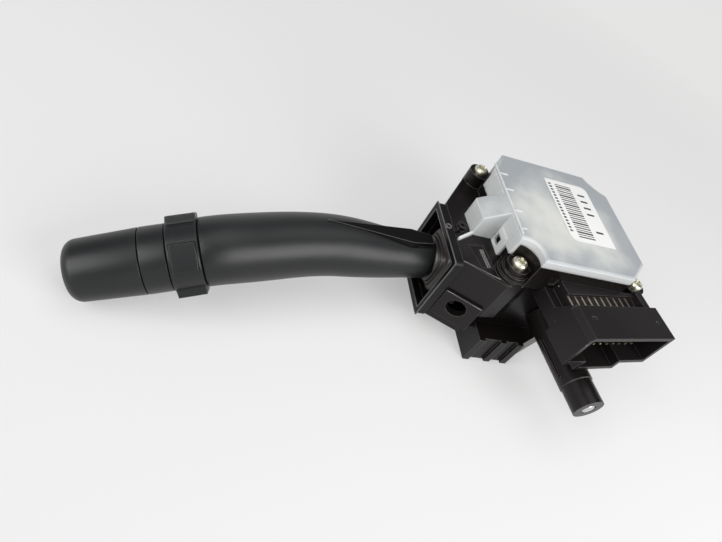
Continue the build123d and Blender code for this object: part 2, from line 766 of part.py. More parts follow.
# ---- swing carrier with its drive pin -------------------------------------------------------
bridge_bottom = pivot_height + carrier_half_height + moving_clearance
carrier_arm_thickness = 2.6
bridge_width = 3.2 * trunnion_radius
with BuildPart() as swing_carrier:
    with Locations(((carrier_front + carrier_rear) / 2, 0, pivot_height)):
        Box(carrier_rear - carrier_front, 2 * carrier_half_width, 2 * carrier_half_height)
    fillet(swing_carrier.edges().filter_by(Axis.Z), 2.0)
    with Locations((0, 0, pivot_height)):
        Box(
            2 * (carrier_rear - carrier_front),
            2 * carrier_slot_half_width,
            2 * carrier_slot_half_height,
            mode=Mode.SUBTRACT,
        )
    with BuildSketch(Plane.XY.offset(pivot_height + carrier_half_height - carrier_arm_thickness)):
        with Locations((drive_pin_x / 2, 0)):
            SlotOverall(drive_pin_x + 2 * 3.2, 6.4)
    extrude(amount=carrier_arm_thickness)
    with BuildSketch(Plane.XY.offset(pivot_height - carrier_half_height)):
        Circle(trunnion_radius)
    extrude(amount=-trunnion_length)
    with BuildSketch(Plane.XY.offset(pivot_height + carrier_half_height)):
        Circle(trunnion_radius)
    extrude(amount=trunnion_length)
    with BuildSketch(Plane.XY.offset(pivot_height + carrier_half_height)):
        with Locations((drive_pin_x, 0)):
            Circle(drive_pin_radius)
    extrude(amount=slider_bottom + slider_height - 1.0 - pivot_height - carrier_half_height)
    with Locations(Plane(origin=pivot, z_dir=(0, 1, 0))):
        Cylinder(cross_pin_radius + seat_clearance, 4 * carrier_half_width, mode=Mode.SUBTRACT)
save(swing_carrier.part, "swing_carrier")

with BuildPart() as cross_pin:
    with BuildSketch(Plane(origin=pivot, z_dir=(0, 1, 0))):
        Circle(cross_pin_radius)
    extrude(amount=carrier_half_width - 0.2, both=True)
save(cross_pin.part, "cross_pin")

with BuildPart() as pivot_bridge:
    with BuildSketch(Plane.XY.offset(bridge_bottom)):
        with Locations((0, (case_front + case_rear) / 2)):
            Rectangle(bridge_width, case_rear - case_front - 2 * wall - 0.2)
        Circle(trunnion_radius + running_clearance, mode=Mode.SUBTRACT)
    extrude(amount=nose_top - wall - bridge_bottom - seat_clearance)
save(pivot_bridge.part, "pivot_bridge")

# ---- stalk core, plunger, shield, collar -----------------------------------------------------
with BuildPart() as lever_core:
    with BuildSketch(Plane.YZ.offset(core_start_x)):
        with Locations((0, pivot_height)):
            Circle(core_radius)
    extrude(amount=carrier_front - 2 - core_start_x)
    with BuildSketch(Plane.YZ.offset(carrier_front - 2)):
        with Locations((0, pivot_height)):
            RectangleRounded(2 * core_half_width, 2 * core_half_width, 1.0)
    extrude(amount=core_tail_x - carrier_front + 2)
    with Locations(Plane(origin=pivot, z_dir=(0, 1, 0))):
        Cylinder(cross_pin_radius + running_clearance, 8 * core_half_width, mode=Mode.SUBTRACT)
    with Locations(Plane(origin=(core_tail_x, 0, pivot_height), z_dir=(1, 0, 0))):
        Hole(plunger_radius + running_clearance, depth=core_tail_x - cross_pin_radius - 2.0)
save(lever_core.part, "lever_core")

plunger_start_x = core_tail_x - 4.0
with BuildPart() as detent_plunger:
    with BuildSketch(Plane(origin=(plunger_start_x, 0, pivot_height), z_dir=(1, 0, 0))):
        Circle(plunger_radius)
    extrude(amount=plunger_tip_x - plunger_start_x)
    fillet(detent_plunger.faces().sort_by(Axis.X)[-1].edges(), plunger_radius * 0.9)
save(detent_plunger.part, "detent_plunger")

spring_wire = 0.35
spring_start = cross_pin_radius + 2.2
with BuildPart() as detent_spring:
    with BuildLine() as spring_path:
        Helix(
            pitch=1.4,
            height=plunger_start_x - plunger_travel - spring_start - 2 * spring_wire - moving_clearance,
            radius=plunger_radius - spring_wire - 0.1,
            center=(spring_start + spring_wire, 0, pivot_height),
            direction=(1, 0, 0),
        )
    with BuildSketch(Plane(origin=spring_path.line @ 0, z_dir=spring_path.line % 0)):
        Circle(spring_wire)
    sweep()
save(detent_spring.part, "detent_spring")

detent_radius = plunger_tip_x + moving_clearance
detent_wall = 3.0
detent_half_height = 8.0
detent_half_angle = 22
detent_cos = math.cos(math.radians(detent_half_angle))
detent_sin = math.sin(math.radians(detent_half_angle))
detent_foot = pivot_height - detent_half_height - nose_bottom - nose_wall + 1.0
with BuildPart() as detent_plate:
    with BuildSketch(Plane.XY.offset(pivot_height)):
        with BuildLine():
            CenterArc((0, 0), detent_radius, -detent_half_angle, 2 * detent_half_angle)
            CenterArc((0, 0), detent_radius + detent_wall, -detent_half_angle, 2 * detent_half_angle)
            for side in (-1, 1):
                ray = Vector(detent_cos, side * detent_sin)
                Line(ray * detent_radius, ray * (detent_radius + detent_wall))
        make_face()
    extrude(amount=detent_half_height, both=True)
    with Locations(pivot):
        Sphere(detent_radius, mode=Mode.SUBTRACT)
    with Locations((detent_radius + detent_wall / 2, 0, nose_bottom + nose_wall + detent_foot / 2)):
        Box(detent_wall, 3.4 * detent_wall, detent_foot)
save(detent_plate.part, "detent_plate")

with BuildPart() as dust_shield:
    with Locations(pivot):
        Sphere(shield_radius)
        Sphere(shield_radius - shield_thickness, mode=Mode.SUBTRACT)
    with Locations((-shield_radius, 0, pivot_height)):
        Box(shield_radius, 2 * shield_half_width, 2 * shield_half_height, mode=Mode.INTERSECT)
    with Locations(Plane(origin=(-shield_radius, 0, pivot_height), z_dir=(1, 0, 0))):
        Cylinder(core_radius + seat_clearance, shield_radius, mode=Mode.SUBTRACT)
save(dust_shield.part, "dust_shield")

with BuildPart() as lever_collar:
    with BuildSketch(Plane.XZ):
        with BuildLine():
            Polyline(
                (collar_end_x, pivot_height + core_radius + seat_clearance),
                (collar_end_x, pivot_height + collar_neck_radius),
                (collar_rim_x + 1.2, pivot_height + collar_neck_radius),
                (collar_rim_x + 1.2, pivot_height + collar_radius),
                (collar_rim_x, pivot_height + collar_radius),
                (arm_root_x + seat_clearance, pivot_height + arm_root_radius - 0.4),
                (arm_root_x + seat_clearance, pivot_height + core_radius + seat_clearance),
                close=True,
            )
        make_face()
    revolve(axis=Axis(pivot, (1, 0, 0)))
save(lever_collar.part, "lever_collar")

# ---- stalk arm -------------------------------------------------------------------------------
ring_edge = Vector(*seam) + head_axis * (ring_start - part_gap)
with BuildLine() as arm_axis:
    Spline(
        (arm_root_x, 0, pivot_height),
        *[(x, y, pivot_height + z) for x, y, z in arm_points],
        ring_edge,
        tangents=[(-1, 0, 0), head_axis],
    )


def arm_sections(inset):
    """Circles across the stalk's axis, inset from its surface."""
    faces = []
    for share, radius in arm_stations:
        station = Plane(
            origin=arm_axis.line @ share,
            x_dir=(0, 0, 1) if share < 0.05 else None,
            z_dir=arm_axis.line % share,
        )
        with BuildSketch(station) as section:
            Circle(radius - inset)
        faces.append(section.sketch)
    return faces


with BuildPart() as lever_arm:
    for face in arm_sections(0):
        add(face)
    loft()
    for face in arm_sections(arm_wall):
        add(face)
    loft(mode=Mode.SUBTRACT)
    # root socket that holds the core
    with BuildSketch(Plane(origin=(arm_root_x, 0, pivot_height), z_dir=(-1, 0, 0))):
        Circle(arm_root_radius - 1.0)
        Circle(core_radius + seat_clearance, mode=Mode.SUBTRACT)
    extrude(amount=abs(core_start_x - arm_root_x))
    # spigot that carries the head
    with BuildSketch(head_at(ring_start - part_gap - 2.0)):
        Circle(arm_end_radius - arm_wall + 0.3)
        Circle(spindle_radius + 1.2, mode=Mode.SUBTRACT)
    extrude(amount=2.0)
    with BuildSketch(head_at(ring_start - part_gap - 2.0)):
        Circle(spigot_radius)
        Circle(spindle_radius + 1.2, mode=Mode.SUBTRACT)
    extrude(amount=spigot_end - ring_start + part_gap + 2.0)
    with BuildSketch(head_at(-6.0)):
        Circle(spigot_radius - 0.5)
        Circle(spindle_radius + running_clearance, mode=Mode.SUBTRACT)
    extrude(amount=6.0 + spigot_end)
save(lever_arm.part, "lever_arm")

fin_top = pivot_height + fin_rise
with BuildPart() as lever_fin:
    with BuildSketch(Plane.XY.offset(fin_top)):
        with BuildLine():
            Polyline(*fin_outline, close=True)
        make_face()
    extrude(amount=-fin_rise, taper=-2)
    for face in arm_sections(-seat_clearance):
        add(face)
    loft(mode=Mode.SUBTRACT)
    with Locations(Plane(origin=(arm_root_x, 0, pivot_height), z_dir=(1, 0, 0))):
        Cylinder(collar_radius + seat_clearance, 8.0, mode=Mode.SUBTRACT)
save(lever_fin.part, "lever_fin")

# ---- head ---------------------------------------------------------------------------------------
with BuildPart() as selector_ring:
    with BuildSketch(head_at(ring_start)):
        Circle(ring_radius)
        Circle(spigot_radius + running_clearance, mode=Mode.SUBTRACT)
    extrude(amount=ring_length)
    fillet(selector_ring.faces().filter_by(GeomType.CYLINDER).sort_by(SortBy.AREA)[-1].edges(), 0.7)
    with BuildSketch(head_at(ring_start)):
        for side in (-1, 1):
            with Locations((0, side * (ring_radius + lug_height - 3.0))):
                Rectangle(lug_width, 6.0)
    extrude(amount=ring_length - 0.6)
    with BuildSketch(head_at(ring_start + 0.7)):
        with Locations((ring_radius + pad_rise - 2.8, 0)):
            Rectangle(5.6, pad_width)
    extrude(amount=ring_length - 1.4)
save(selector_ring.part, "selector_ring")

with BuildPart() as spacer_band:
    with BuildSketch(head_at(ring_start + ring_length + part_gap)):
        Circle(band_radius)
        Circle(spigot_radius + seat_clearance, mode=Mode.SUBTRACT)
    extrude(amount=-ring_start - ring_length - 2 * part_gap)
save(spacer_band.part, "spacer_band")

knob_inner = knob_tip_radius - knob_wall
with BuildPart() as end_knob:
    with BuildSketch(head):
        Circle(knob_radius)
    with BuildSketch(head_at(knob_length)):
        Circle(knob_tip_radius)
    loft()
    fillet(end_knob.faces().sort_by(Axis(seam, tuple(head_axis)))[-1].edges(), knob_nose_round)
    with BuildSketch(head):
        Circle(knob_inner)
        Circle(spindle_radius + 1.6, mode=Mode.SUBTRACT)
    extrude(amount=knob_length - knob_wall - knob_nose_round, mode=Mode.SUBTRACT)
    with BuildSketch(head):
        Circle(knob_inner)
    extrude(amount=spigot_end + 4.5, mode=Mode.SUBTRACT)
    with BuildSketch(head):
        Circle(spindle_radius + seat_clearance)
    extrude(amount=spindle_seat + 0.2, mode=Mode.SUBTRACT)
save(end_knob.part, "end_knob")

with BuildPart() as knob_spindle:
    with BuildSketch(head_at(-spindle_tail)):
        Circle(spindle_radius)
    extrude(amount=spindle_tail + spindle_seat)
    with BuildSketch(head_at(spigot_end + 1.6)):
        Circle(spindle_radius + 2.4)
    extrude(amount=1.4)
save(knob_spindle.part, "knob_spindle")

with BuildPart() as knob_wiper:
    with BuildSketch(head_at(spigot_end + 0.4)):
        Circle(knob_inner - 0.7)
        Circle(spindle_radius + seat_clearance, mode=Mode.SUBTRACT)
        with Locations((6.2, 0), (-6.2, 0)):
            Rectangle(4.0, 3.0, mode=Mode.SUBTRACT)
    extrude(amount=0.6)
save(knob_wiper.part, "knob_wiper")

with BuildPart() as head_contact_board:
    with BuildSketch(head_at(spigot_end - 1.6)):
        Circle(knob_inner - part_gap)
        Circle(spigot_radius + seat_clearance, mode=Mode.SUBTRACT)
    extrude(amount=1.2)
save(head_contact_board.part, "head_contact_board")
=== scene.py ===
"""Looks for a steering column stalk switch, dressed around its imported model.

Every length below is in millimetres and is turned to metres where a mesh is
made. The frame is that of the model: +X from the stalk to the connector, +Z the
normal of the rear cover.
"""

from __future__ import annotations

import logging
import math
from dataclasses import dataclass, field
from enum import Enum

import bpy
import numpy as np
from mathutils import Matrix, Vector

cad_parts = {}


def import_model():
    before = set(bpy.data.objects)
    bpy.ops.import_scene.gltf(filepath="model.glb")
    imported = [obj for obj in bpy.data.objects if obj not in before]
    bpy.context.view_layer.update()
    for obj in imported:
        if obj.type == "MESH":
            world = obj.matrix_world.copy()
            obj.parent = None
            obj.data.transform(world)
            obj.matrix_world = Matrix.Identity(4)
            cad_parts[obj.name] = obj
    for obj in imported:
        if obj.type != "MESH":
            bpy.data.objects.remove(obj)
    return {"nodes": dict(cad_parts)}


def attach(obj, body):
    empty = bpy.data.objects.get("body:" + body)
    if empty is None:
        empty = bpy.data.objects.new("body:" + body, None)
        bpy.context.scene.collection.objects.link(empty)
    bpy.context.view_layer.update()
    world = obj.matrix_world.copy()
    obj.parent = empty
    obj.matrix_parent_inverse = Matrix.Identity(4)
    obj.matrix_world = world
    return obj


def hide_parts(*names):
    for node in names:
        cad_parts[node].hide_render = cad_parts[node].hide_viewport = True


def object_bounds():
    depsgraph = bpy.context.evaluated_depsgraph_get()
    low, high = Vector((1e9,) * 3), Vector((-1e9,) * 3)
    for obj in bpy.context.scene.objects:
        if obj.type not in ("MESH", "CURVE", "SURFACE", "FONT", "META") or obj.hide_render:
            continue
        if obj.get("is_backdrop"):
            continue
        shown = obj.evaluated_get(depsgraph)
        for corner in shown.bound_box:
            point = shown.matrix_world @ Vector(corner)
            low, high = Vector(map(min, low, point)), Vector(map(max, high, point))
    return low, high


LOG = logging.getLogger("stalk_switch")
MM = 0.001
PIVOT_HEIGHT = 25.4
COVER_TOP = 56.06
SHARP_ANGLE = math.radians(32)
FULL_TURN = 2 * math.pi
UP = Vector((0, 0, 1))
DUST_COLOUR = (0.55, 0.55, 0.52)
SKIN_OUTPUTS = {"Colour": "NodeSocketColor", "Roughness": "NodeSocketFloat", "Height": "NodeSocketFloat"}
Colour = tuple[float, float, float]
Point = tuple[float, float, float]
Pair = tuple[float, float]


class Coat(Enum):
    """Named finishes of plated or bare metal."""

    YELLOW_ZINC = "yellow_zinc"
    TIN = "tin"
    STEEL = "steel"
    BRASS = "brass"


# ---- node sheets ---------------------------------------------------------------


class NodeSheet:
    """One node tree, with short ways to add nodes and join them."""

    def __init__(self, tree: bpy.types.NodeTree) -> None:
        """Take over a tree and empty it.

        Args:
            tree: The node tree of a material or of a group.
        """
        self.tree = tree
        self.tree.nodes.clear()

    def add(self, kind: str, **settings: object) -> bpy.types.Node:
        """Add a node.

        Args:
            kind: The node's type, without the prefix "ShaderNode".
            **settings: Attributes of the node, and its sockets by name with
                spaces written as underscores.

        Returns:
            The new node.
        """
        full = kind if kind.startswith("NodeGroup") else "ShaderNode" + kind
        node = self.tree.nodes.new(full)
        for key, value in settings.items():
            if hasattr(node, key):
                setattr(node, key, value)
            else:
                node.inputs[key.replace("_", " ")].default_value = value
        return node

    def join(self, source: bpy.types.NodeSocket, target: bpy.types.NodeSocket) -> None:
        """Link an output socket to an input socket."""
        self.tree.links.new(source, target)

    def feed(self, socket: bpy.types.NodeSocket, value: object) -> None:
        """Give an input socket what the value is: a link, a colour or a number."""
        if isinstance(value, bpy.types.NodeSocket):
            self.join(value, socket)
        elif isinstance(value, tuple):
            socket.default_value = (*value, 1.0)
        else:
            socket.default_value = value

    def place(self) -> bpy.types.NodeSocket:
        """Add the place of a point in the piece's own coordinates."""
        return self.add("TexCoord").outputs["Object"]

    def maths(
        self, operation: str, first: object, second: object = 0.0, clamp: bool = False
    ) -> bpy.types.NodeSocket:
        """Add a Math node.

        Args:
            operation: The node's operation.
            first: A socket or a number.
            second: A socket or a number.
            clamp: Whether the result is kept between 0 and 1.

        Returns:
            The node's output.
        """
        node = self.add("Math", operation=operation, use_clamp=clamp)
        self.feed(node.inputs[0], first)
        self.feed(node.inputs[1], second)
        return node.outputs[0]

    def blend(self, factor: object, first: object, second: object) -> bpy.types.NodeSocket:
        """Mix two colours.

        Args:
            factor: A socket or a number between 0 and 1.
            first: A colour socket or a colour.
            second: A colour socket or a colour.

        Returns:
            The mixed colour.
        """
        node = self.add("Mix", data_type="RGBA")
        for index, value in ((0, factor), (6, first), (7, second)):
            self.feed(node.inputs[index], value)
        return node.outputs[2]

    def noise(self, position: bpy.types.NodeSocket, scale: object, detail: float) -> bpy.types.NodeSocket:
        """Add a noise texture and return its value."""
        node = self.add("TexNoise", Detail=detail)
        self.join(position, node.inputs["Vector"])
        self.feed(node.inputs["Scale"], scale)
        return node.outputs["Fac"]


def new_group(
    name: str, inputs: dict[str, object], outputs: dict[str, str]
) -> tuple[NodeSheet, bpy.types.Node, bpy.types.Node]:
    """Start a shader group with named sockets.

    Args:
        name: The group's name.
        inputs: Names of the inputs with their values; a tuple makes a colour.
        outputs: Names of the outputs with their socket types.

    Returns:
        The group's sheet, its input node and its output node.
    """
    tree = bpy.data.node_groups.new(name, "ShaderNodeTree")
    for label, value in inputs.items():
        kind = "NodeSocketColor" if isinstance(value, tuple) else "NodeSocketFloat"
        socket = tree.interface.new_socket(name=label, in_out="INPUT", socket_type=kind)
        socket.default_value = (*value, 1.0) if isinstance(value, tuple) else value
    for label, kind in outputs.items():
        tree.interface.new_socket(name=label, in_out="OUTPUT", socket_type=kind)
    sheet = NodeSheet(tree)
    return sheet, sheet.add("NodeGroupInput"), sheet.add("NodeGroupOutput")


def edge_group() -> bpy.types.NodeTree:
    """Build the group that finds the edges of a piece.

    The mask is how far the normal rounded over a small radius leans away from
    the true one, so it is zero on flats and one along sharp edges.

    Returns:
        The group, with outputs Mask and Normal.
    """
    sheet, given, result = new_group(
        "piece_edges",
        {"Radius": 0.0003, "Gain": 4.0},
        {"Mask": "NodeSocketFloat", "Normal": "NodeSocketVector"},
    )
    rounded = sheet.add("Bevel", samples=6)
    sheet.join(given.outputs["Radius"], rounded.inputs["Radius"])
    true = sheet.add("NewGeometry")
    lean = sheet.add("VectorMath", operation="DOT_PRODUCT")
    sheet.join(rounded.outputs["Normal"], lean.inputs[0])
    sheet.join(true.outputs["Normal"], lean.inputs[1])
    apart = sheet.maths("SUBTRACT", 1.0, lean.outputs["Value"])
    mask = sheet.maths("MULTIPLY", apart, given.outputs["Gain"], clamp=True)
    sheet.join(mask, result.inputs["Mask"])
    sheet.join(rounded.outputs["Normal"], result.inputs["Normal"])
    return sheet.tree


def mould_group() -> bpy.types.NodeTree:
    """Build the group for moulded plastic.

    Large soft noise shifts the shade, fine noise gives the eroded grain of the
    mould and uneven roughness.

    Returns:
        The group, with outputs Colour, Roughness and Height.
    """
    sheet, given, result = new_group(
        "moulded_grain",
        {
            "Colour": (0.03, 0.03, 0.03),
            "Shade": 0.2,
            "Patch Scale": 60.0,
            "Grain Scale": 4000.0,
            "Roughness": 0.4,
            "Roughness Spread": 0.1,
        },
        SKIN_OUTPUTS,
    )
    place = sheet.place()
    patch = sheet.noise(place, given.outputs["Patch Scale"], 3.0)
    grain = sheet.noise(place, given.outputs["Grain Scale"], 2.0)
    centred = sheet.maths("SUBTRACT", patch, 0.5)
    swing = sheet.maths("MULTIPLY", centred, given.outputs["Shade"])
    lift = sheet.maths("ADD", sheet.maths("MULTIPLY", swing, 2.0), 1.0)
    shaded = sheet.add("VectorMath", operation="SCALE")
    sheet.join(given.outputs["Colour"], shaded.inputs[0])
    sheet.join(lift, shaded.inputs["Scale"])
    sheet.join(shaded.outputs[0], result.inputs["Colour"])
    uneven = sheet.maths("MULTIPLY", sheet.maths("SUBTRACT", grain, 0.5), given.outputs["Roughness Spread"])
    slow = sheet.maths("MULTIPLY", centred, given.outputs["Roughness Spread"])
    rough = sheet.maths("ADD", sheet.maths("ADD", uneven, slow), given.outputs["Roughness"], clamp=True)
    sheet.join(rough, result.inputs["Roughness"])
    sheet.join(grain, result.inputs["Height"])
    return sheet.tree


def dust_group() -> bpy.types.NodeTree:
    """Build the group for loose specks of dust.

    A cell pattern keeps a speck only in a few cells, by each cell's own random
    shade, and only near the cell's middle.

    Returns:
        The group, with the output Mask.
    """
    sheet, given, result = new_group(
        "dust_specks", {"Cell Scale": 260.0, "Share": 0.06, "Speck Size": 0.1}, {"Mask": "NodeSocketFloat"}
    )
    place = sheet.place()
    cells = sheet.add("TexVoronoi")
    sheet.join(place, cells.inputs["Vector"])
    sheet.join(given.outputs["Cell Scale"], cells.inputs["Scale"])
    split = sheet.add("SeparateColor")
    sheet.join(cells.outputs["Color"], split.inputs[0])
    chosen = sheet.maths("LESS_THAN", split.outputs[0], given.outputs["Share"])
    size = sheet.maths("MULTIPLY", given.outputs["Speck Size"], split.outputs[1])
    near = sheet.maths("LESS_THAN", cells.outputs["Distance"], size)
    sheet.join(sheet.maths("MULTIPLY", chosen, near), result.inputs["Mask"])
    return sheet.tree


def metal_group() -> bpy.types.NodeTree:
    """Build the group for plated metal: cloudy plating and fine scratches.

    Returns:
        The group, with outputs Colour, Roughness and Height.
    """
    sheet, given, result = new_group(
        "plated_metal",
        {"Colour": (0.6, 0.6, 0.6), "Tarnish": (0.3, 0.3, 0.3), "Cloud Scale": 700.0, "Roughness": 0.3},
        SKIN_OUTPUTS,
    )
    place = sheet.place()
    cloud = sheet.noise(place, given.outputs["Cloud Scale"], 4.0)
    tarnish = sheet.maths("MULTIPLY", sheet.maths("SUBTRACT", cloud, 0.45, clamp=True), 3.0, clamp=True)
    mixed = sheet.blend(tarnish, given.outputs["Colour"], given.outputs["Tarnish"])
    sheet.join(mixed, result.inputs["Colour"])
    stretched = sheet.add("Mapping", Scale=(1.0, 14.0, 3.0))
    sheet.join(place, stretched.inputs["Vector"])
    scratch = sheet.noise(stretched.outputs[0], 900.0, 3.0)
    rough = sheet.maths("ADD", given.outputs["Roughness"], sheet.maths("MULTIPLY", tarnish, 0.2), clamp=True)
    sheet.join(rough, result.inputs["Roughness"])
    sheet.join(scratch, result.inputs["Height"])
    return sheet.tree


def frost_group() -> bpy.types.NodeTree:
    """Build the group for frosted translucent plastic.

    The tone runs from a warm middle to cooler margins, and wide noise breaks up the change:
    painted light, for light that comes back through the plastic from the board below.
    Upright faces take the wall colour, a painted shade, and edges a painted highlight.

    Returns:
        The group, with outputs Colour, Roughness and Height.
    """
    sheet, given, result = new_group(
        "frosted_cover",
        {
            "Middle": (0.6, 0.6, 0.55),
            "Margin": (0.4, 0.45, 0.5),
            "Side": (0.6, 0.62, 0.62),
            "Ridge": (0.8, 0.85, 0.9),
            "Ridge Mask": 0.0,
            "Roughness": 0.35,
        },
        SKIN_OUTPUTS,
    )
    place = sheet.place()
    centred = sheet.add(
        "Mapping", vector_type="TEXTURE", Location=(0.010, 0.001, 0.056), Scale=(0.030, 0.026, 0.030)
    )
    sheet.join(place, centred.inputs["Vector"])
    reach = sheet.add("VectorMath", operation="LENGTH")
    sheet.join(centred.outputs[0], reach.inputs[0])
    cloud = sheet.noise(place, 55.0, 4.0)
    swing = sheet.maths("SUBTRACT", cloud, 0.5)
    spread = sheet.maths("ADD", reach.outputs["Value"], sheet.maths("MULTIPLY", swing, 2.2))
    ramp = sheet.add("MapRange", interpolation_type="SMOOTHSTEP", From_Min=0.1, From_Max=1.25)
    sheet.join(spread, ramp.inputs["Value"])
    # Upright faces take the wall colour: a painted shade, set by how light falls on the walls.
    upright = sheet.add("SeparateXYZ")
    sheet.join(sheet.add("NewGeometry").outputs["True Normal"], upright.inputs[0])
    flat = sheet.add("MapRange", From_Min=0.55, From_Max=0.9)
    sheet.join(sheet.maths("ABSOLUTE", upright.outputs["Z"]), flat.inputs["Value"])
    # The roof tone, lighter in the middle: painted light for light coming back through the plastic.
    roof = sheet.blend(ramp.outputs[0], given.outputs["Middle"], given.outputs["Margin"])
    toned = sheet.blend(flat.outputs[0], given.outputs["Side"], roof)
    # Edges are lightened along the edge mask: a painted highlight.
    highlighted = sheet.blend(given.outputs["Ridge Mask"], toned, given.outputs["Ridge"])
    sheet.join(highlighted, result.inputs["Colour"])
    grain = sheet.noise(place, 2600.0, 2.0)
    rough = sheet.maths("ADD", given.outputs["Roughness"], sheet.maths("MULTIPLY", swing, 0.3))
    sheet.join(rough, result.inputs["Roughness"])
    sheet.join(grain, result.inputs["Height"])
    return sheet.tree


class Workshop:
    """Holds the shared groups and makes each material once."""

    def __init__(self) -> None:
        """Build every shader group."""
        self.edges = edge_group()
        self.mould = mould_group()
        self.dust = dust_group()
        self.metal = metal_group()
        self.frost = frost_group()

    def group(self, sheet: NodeSheet, tree: bpy.types.NodeTree, **values: object) -> bpy.types.Node:
        """Place a group in a material with its own values.

        Args:
            sheet: The material's sheet.
            tree: The group.
            **values: Input values by name with spaces as underscores.

        Returns:
            The group node.
        """
        node = sheet.add("Group")
        node.node_tree = tree
        for key, value in values.items():
            sheet.feed(node.inputs[key.replace("_", " ")], value)
        return node

    def relief(
        self,
        sheet: NodeSheet,
        shader: bpy.types.Node,
        skin: bpy.types.Node,
        edge: bpy.types.Node,
        depth: float,
    ) -> None:
        """Join a skin's roughness and its height, over softened edges, to a shader.

        Args:
            sheet: The material's sheet.
            shader: Its Principled node.
            skin: The group with outputs Roughness and Height.
            edge: The group with the softened Normal.
            depth: Depth of the relief in metres.
        """
        sheet.join(skin.outputs["Roughness"], shader.inputs["Roughness"])
        bump = sheet.add("Bump", Distance=depth)
        sheet.join(skin.outputs["Height"], bump.inputs["Height"])
        sheet.join(edge.outputs["Normal"], bump.inputs["Normal"])
        sheet.join(bump.outputs[0], shader.inputs["Normal"])

    def start(self, name: str) -> tuple[bpy.types.Material, NodeSheet, bpy.types.Node]:
        """Start a material with its shader and output joined.

        Args:
            name: The material's name.

        Returns:
            The material, its sheet and its Principled node.
        """
        material = bpy.data.materials.new(name)
        material.use_nodes = True
        sheet = NodeSheet(material.node_tree)
        shader = sheet.add("BsdfPrincipled")
        out = sheet.add("OutputMaterial")
        sheet.join(shader.outputs[0], out.inputs["Surface"])
        return material, sheet, shader


@dataclass(frozen=True)
class MouldedPlastic:
    """Opaque moulded plastic with grain, soft edges, a painted glint along the edges and a little dust."""

    name: str
    colour: Colour
    roughness: float
    grain_scale: float = 4000.0
    grain_depth: float = 0.00002
    shade: float = 0.25
    # colour along the edges: a painted highlight on most finishes, a painted shade on the paper
    painted_edge_colour: Colour = (0.12, 0.12, 0.12)
    edge_radius: float = 0.00035
    edge_gain: float = 1.2
    roughness_spread: float = 0.12
    dust_share: float = 0.05
    dust_size: float = 0.07
    specular: float = 0.5

    def material(self, shop: Workshop) -> bpy.types.Material:
        """Make the material.

        Args:
            shop: The shared groups.

        Returns:
            The finished material.
        """
        material, sheet, shader = shop.start(self.name)
        skin = shop.group(
            sheet,
            shop.mould,
            Colour=self.colour,
            Shade=self.shade,
            Patch_Scale=45.0,
            Grain_Scale=self.grain_scale,
            Roughness=self.roughness,
            Roughness_Spread=self.roughness_spread,
        )
        edge = shop.group(sheet, shop.edges, Radius=self.edge_radius, Gain=self.edge_gain)
        dust = shop.group(
            sheet, shop.dust, Cell_Scale=420.0, Share=self.dust_share, Speck_Size=self.dust_size
        )
        # Edges take the edge colour: a painted highlight where light would glint, darker on the paper as a
        # painted shade.
        edge_painted = sheet.blend(edge.outputs["Mask"], skin.outputs["Colour"], self.painted_edge_colour)
        sheet.join(sheet.blend(dust.outputs["Mask"], edge_painted, DUST_COLOUR), shader.inputs["Base Color"])
        shop.relief(sheet, shader, skin, edge, self.grain_depth)
        shader.inputs["Specular IOR Level"].default_value = self.specular
        return material


@dataclass(frozen=True)
class FrostedPlastic:
    """Milky translucent plastic of the rear cover. Its colours hold painted light: a lighter middle, a
    painted shade on the upright faces and a painted highlight along the edges.
    """

    name: str
    middle: Colour
    margin: Colour
    # colour of the upright faces: a painted shade
    side: Colour
    # colour of the edges: a painted highlight
    edge_highlight: Colour

    def material(self, shop: Workshop) -> bpy.types.Material:
        """Make the material.

        Args:
            shop: The shared groups.

        Returns:
            The finished material.
        """
        material, sheet, shader = shop.start(self.name)
        edge = shop.group(sheet, shop.edges, Radius=0.0009, Gain=8.0)
        frost = shop.group(
            sheet, shop.frost, Middle=self.middle, Margin=self.margin, Side=self.side, Ridge=self.edge_highlight
        )
        # The edge mask places the painted highlight.
        sheet.join(edge.outputs["Mask"], frost.inputs["Ridge Mask"])
        sheet.join(frost.outputs["Colour"], shader.inputs["Base Color"])
        shop.relief(sheet, shader, frost, edge, depth=0.00001)
        shader.inputs["Subsurface Weight"].default_value = 0.35
        shader.inputs["Subsurface Radius"].default_value = (0.003, 0.0032, 0.0035)
        shader.inputs["Subsurface Scale"].default_value = 1.0
        shader.inputs["Transmission Weight"].default_value = 0.18
        shader.inputs["IOR"].default_value = 1.45
        return material


@dataclass(frozen=True)
class Metal:
    """Plated or bare metal."""

    coat: Coat
    colour: Colour
    tarnish: Colour
    roughness: float
    cloud_scale: float = 700.0

    def material(self, shop: Workshop) -> bpy.types.Material:
        """Make the material.

        Args:
            shop: The shared groups.

        Returns:
            The finished material.
        """
        material, sheet, shader = shop.start(self.coat.value + "_metal")
        skin = shop.group(
            sheet,
            shop.metal,
            Colour=self.colour,
            Tarnish=self.tarnish,
            Cloud_Scale=self.cloud_scale,
            Roughness=self.roughness,
        )
        edge = shop.group(sheet, shop.edges, Radius=0.00012, Gain=2.0)
        sheet.join(skin.outputs["Colour"], shader.inputs["Base Color"])
        shop.relief(sheet, shader, skin, edge, depth=0.000012)
        shader.inputs["Metallic"].default_value = 1.0
        return material


# ---- surfaces --------------------------------------------------------------------


def make_piece(
    name: str, points: np.ndarray, faces: list[np.ndarray], material: bpy.types.Material
) -> bpy.types.Object:
    """Put points and faces into a new object.

    Args:
        name: The piece's name.
        points: Its corners in millimetres, one row each.
        faces: Arrays of faces with the same number of corners each.
        material: Its finish.

    Returns:
        The object, at the origin.
    """
    mesh = bpy.data.meshes.new(name)
    listed = [face for block in faces for face in block.tolist()]
    mesh.from_pydata((points * MM).tolist(), [], listed)
    mesh.validate()
    mesh.shade_smooth()
    mesh.set_sharp_from_angle(angle=SHARP_ANGLE)
    mesh.materials.append(material)
    piece = bpy.data.objects.new(name, mesh)
    bpy.context.scene.collection.objects.link(piece)
    return piece


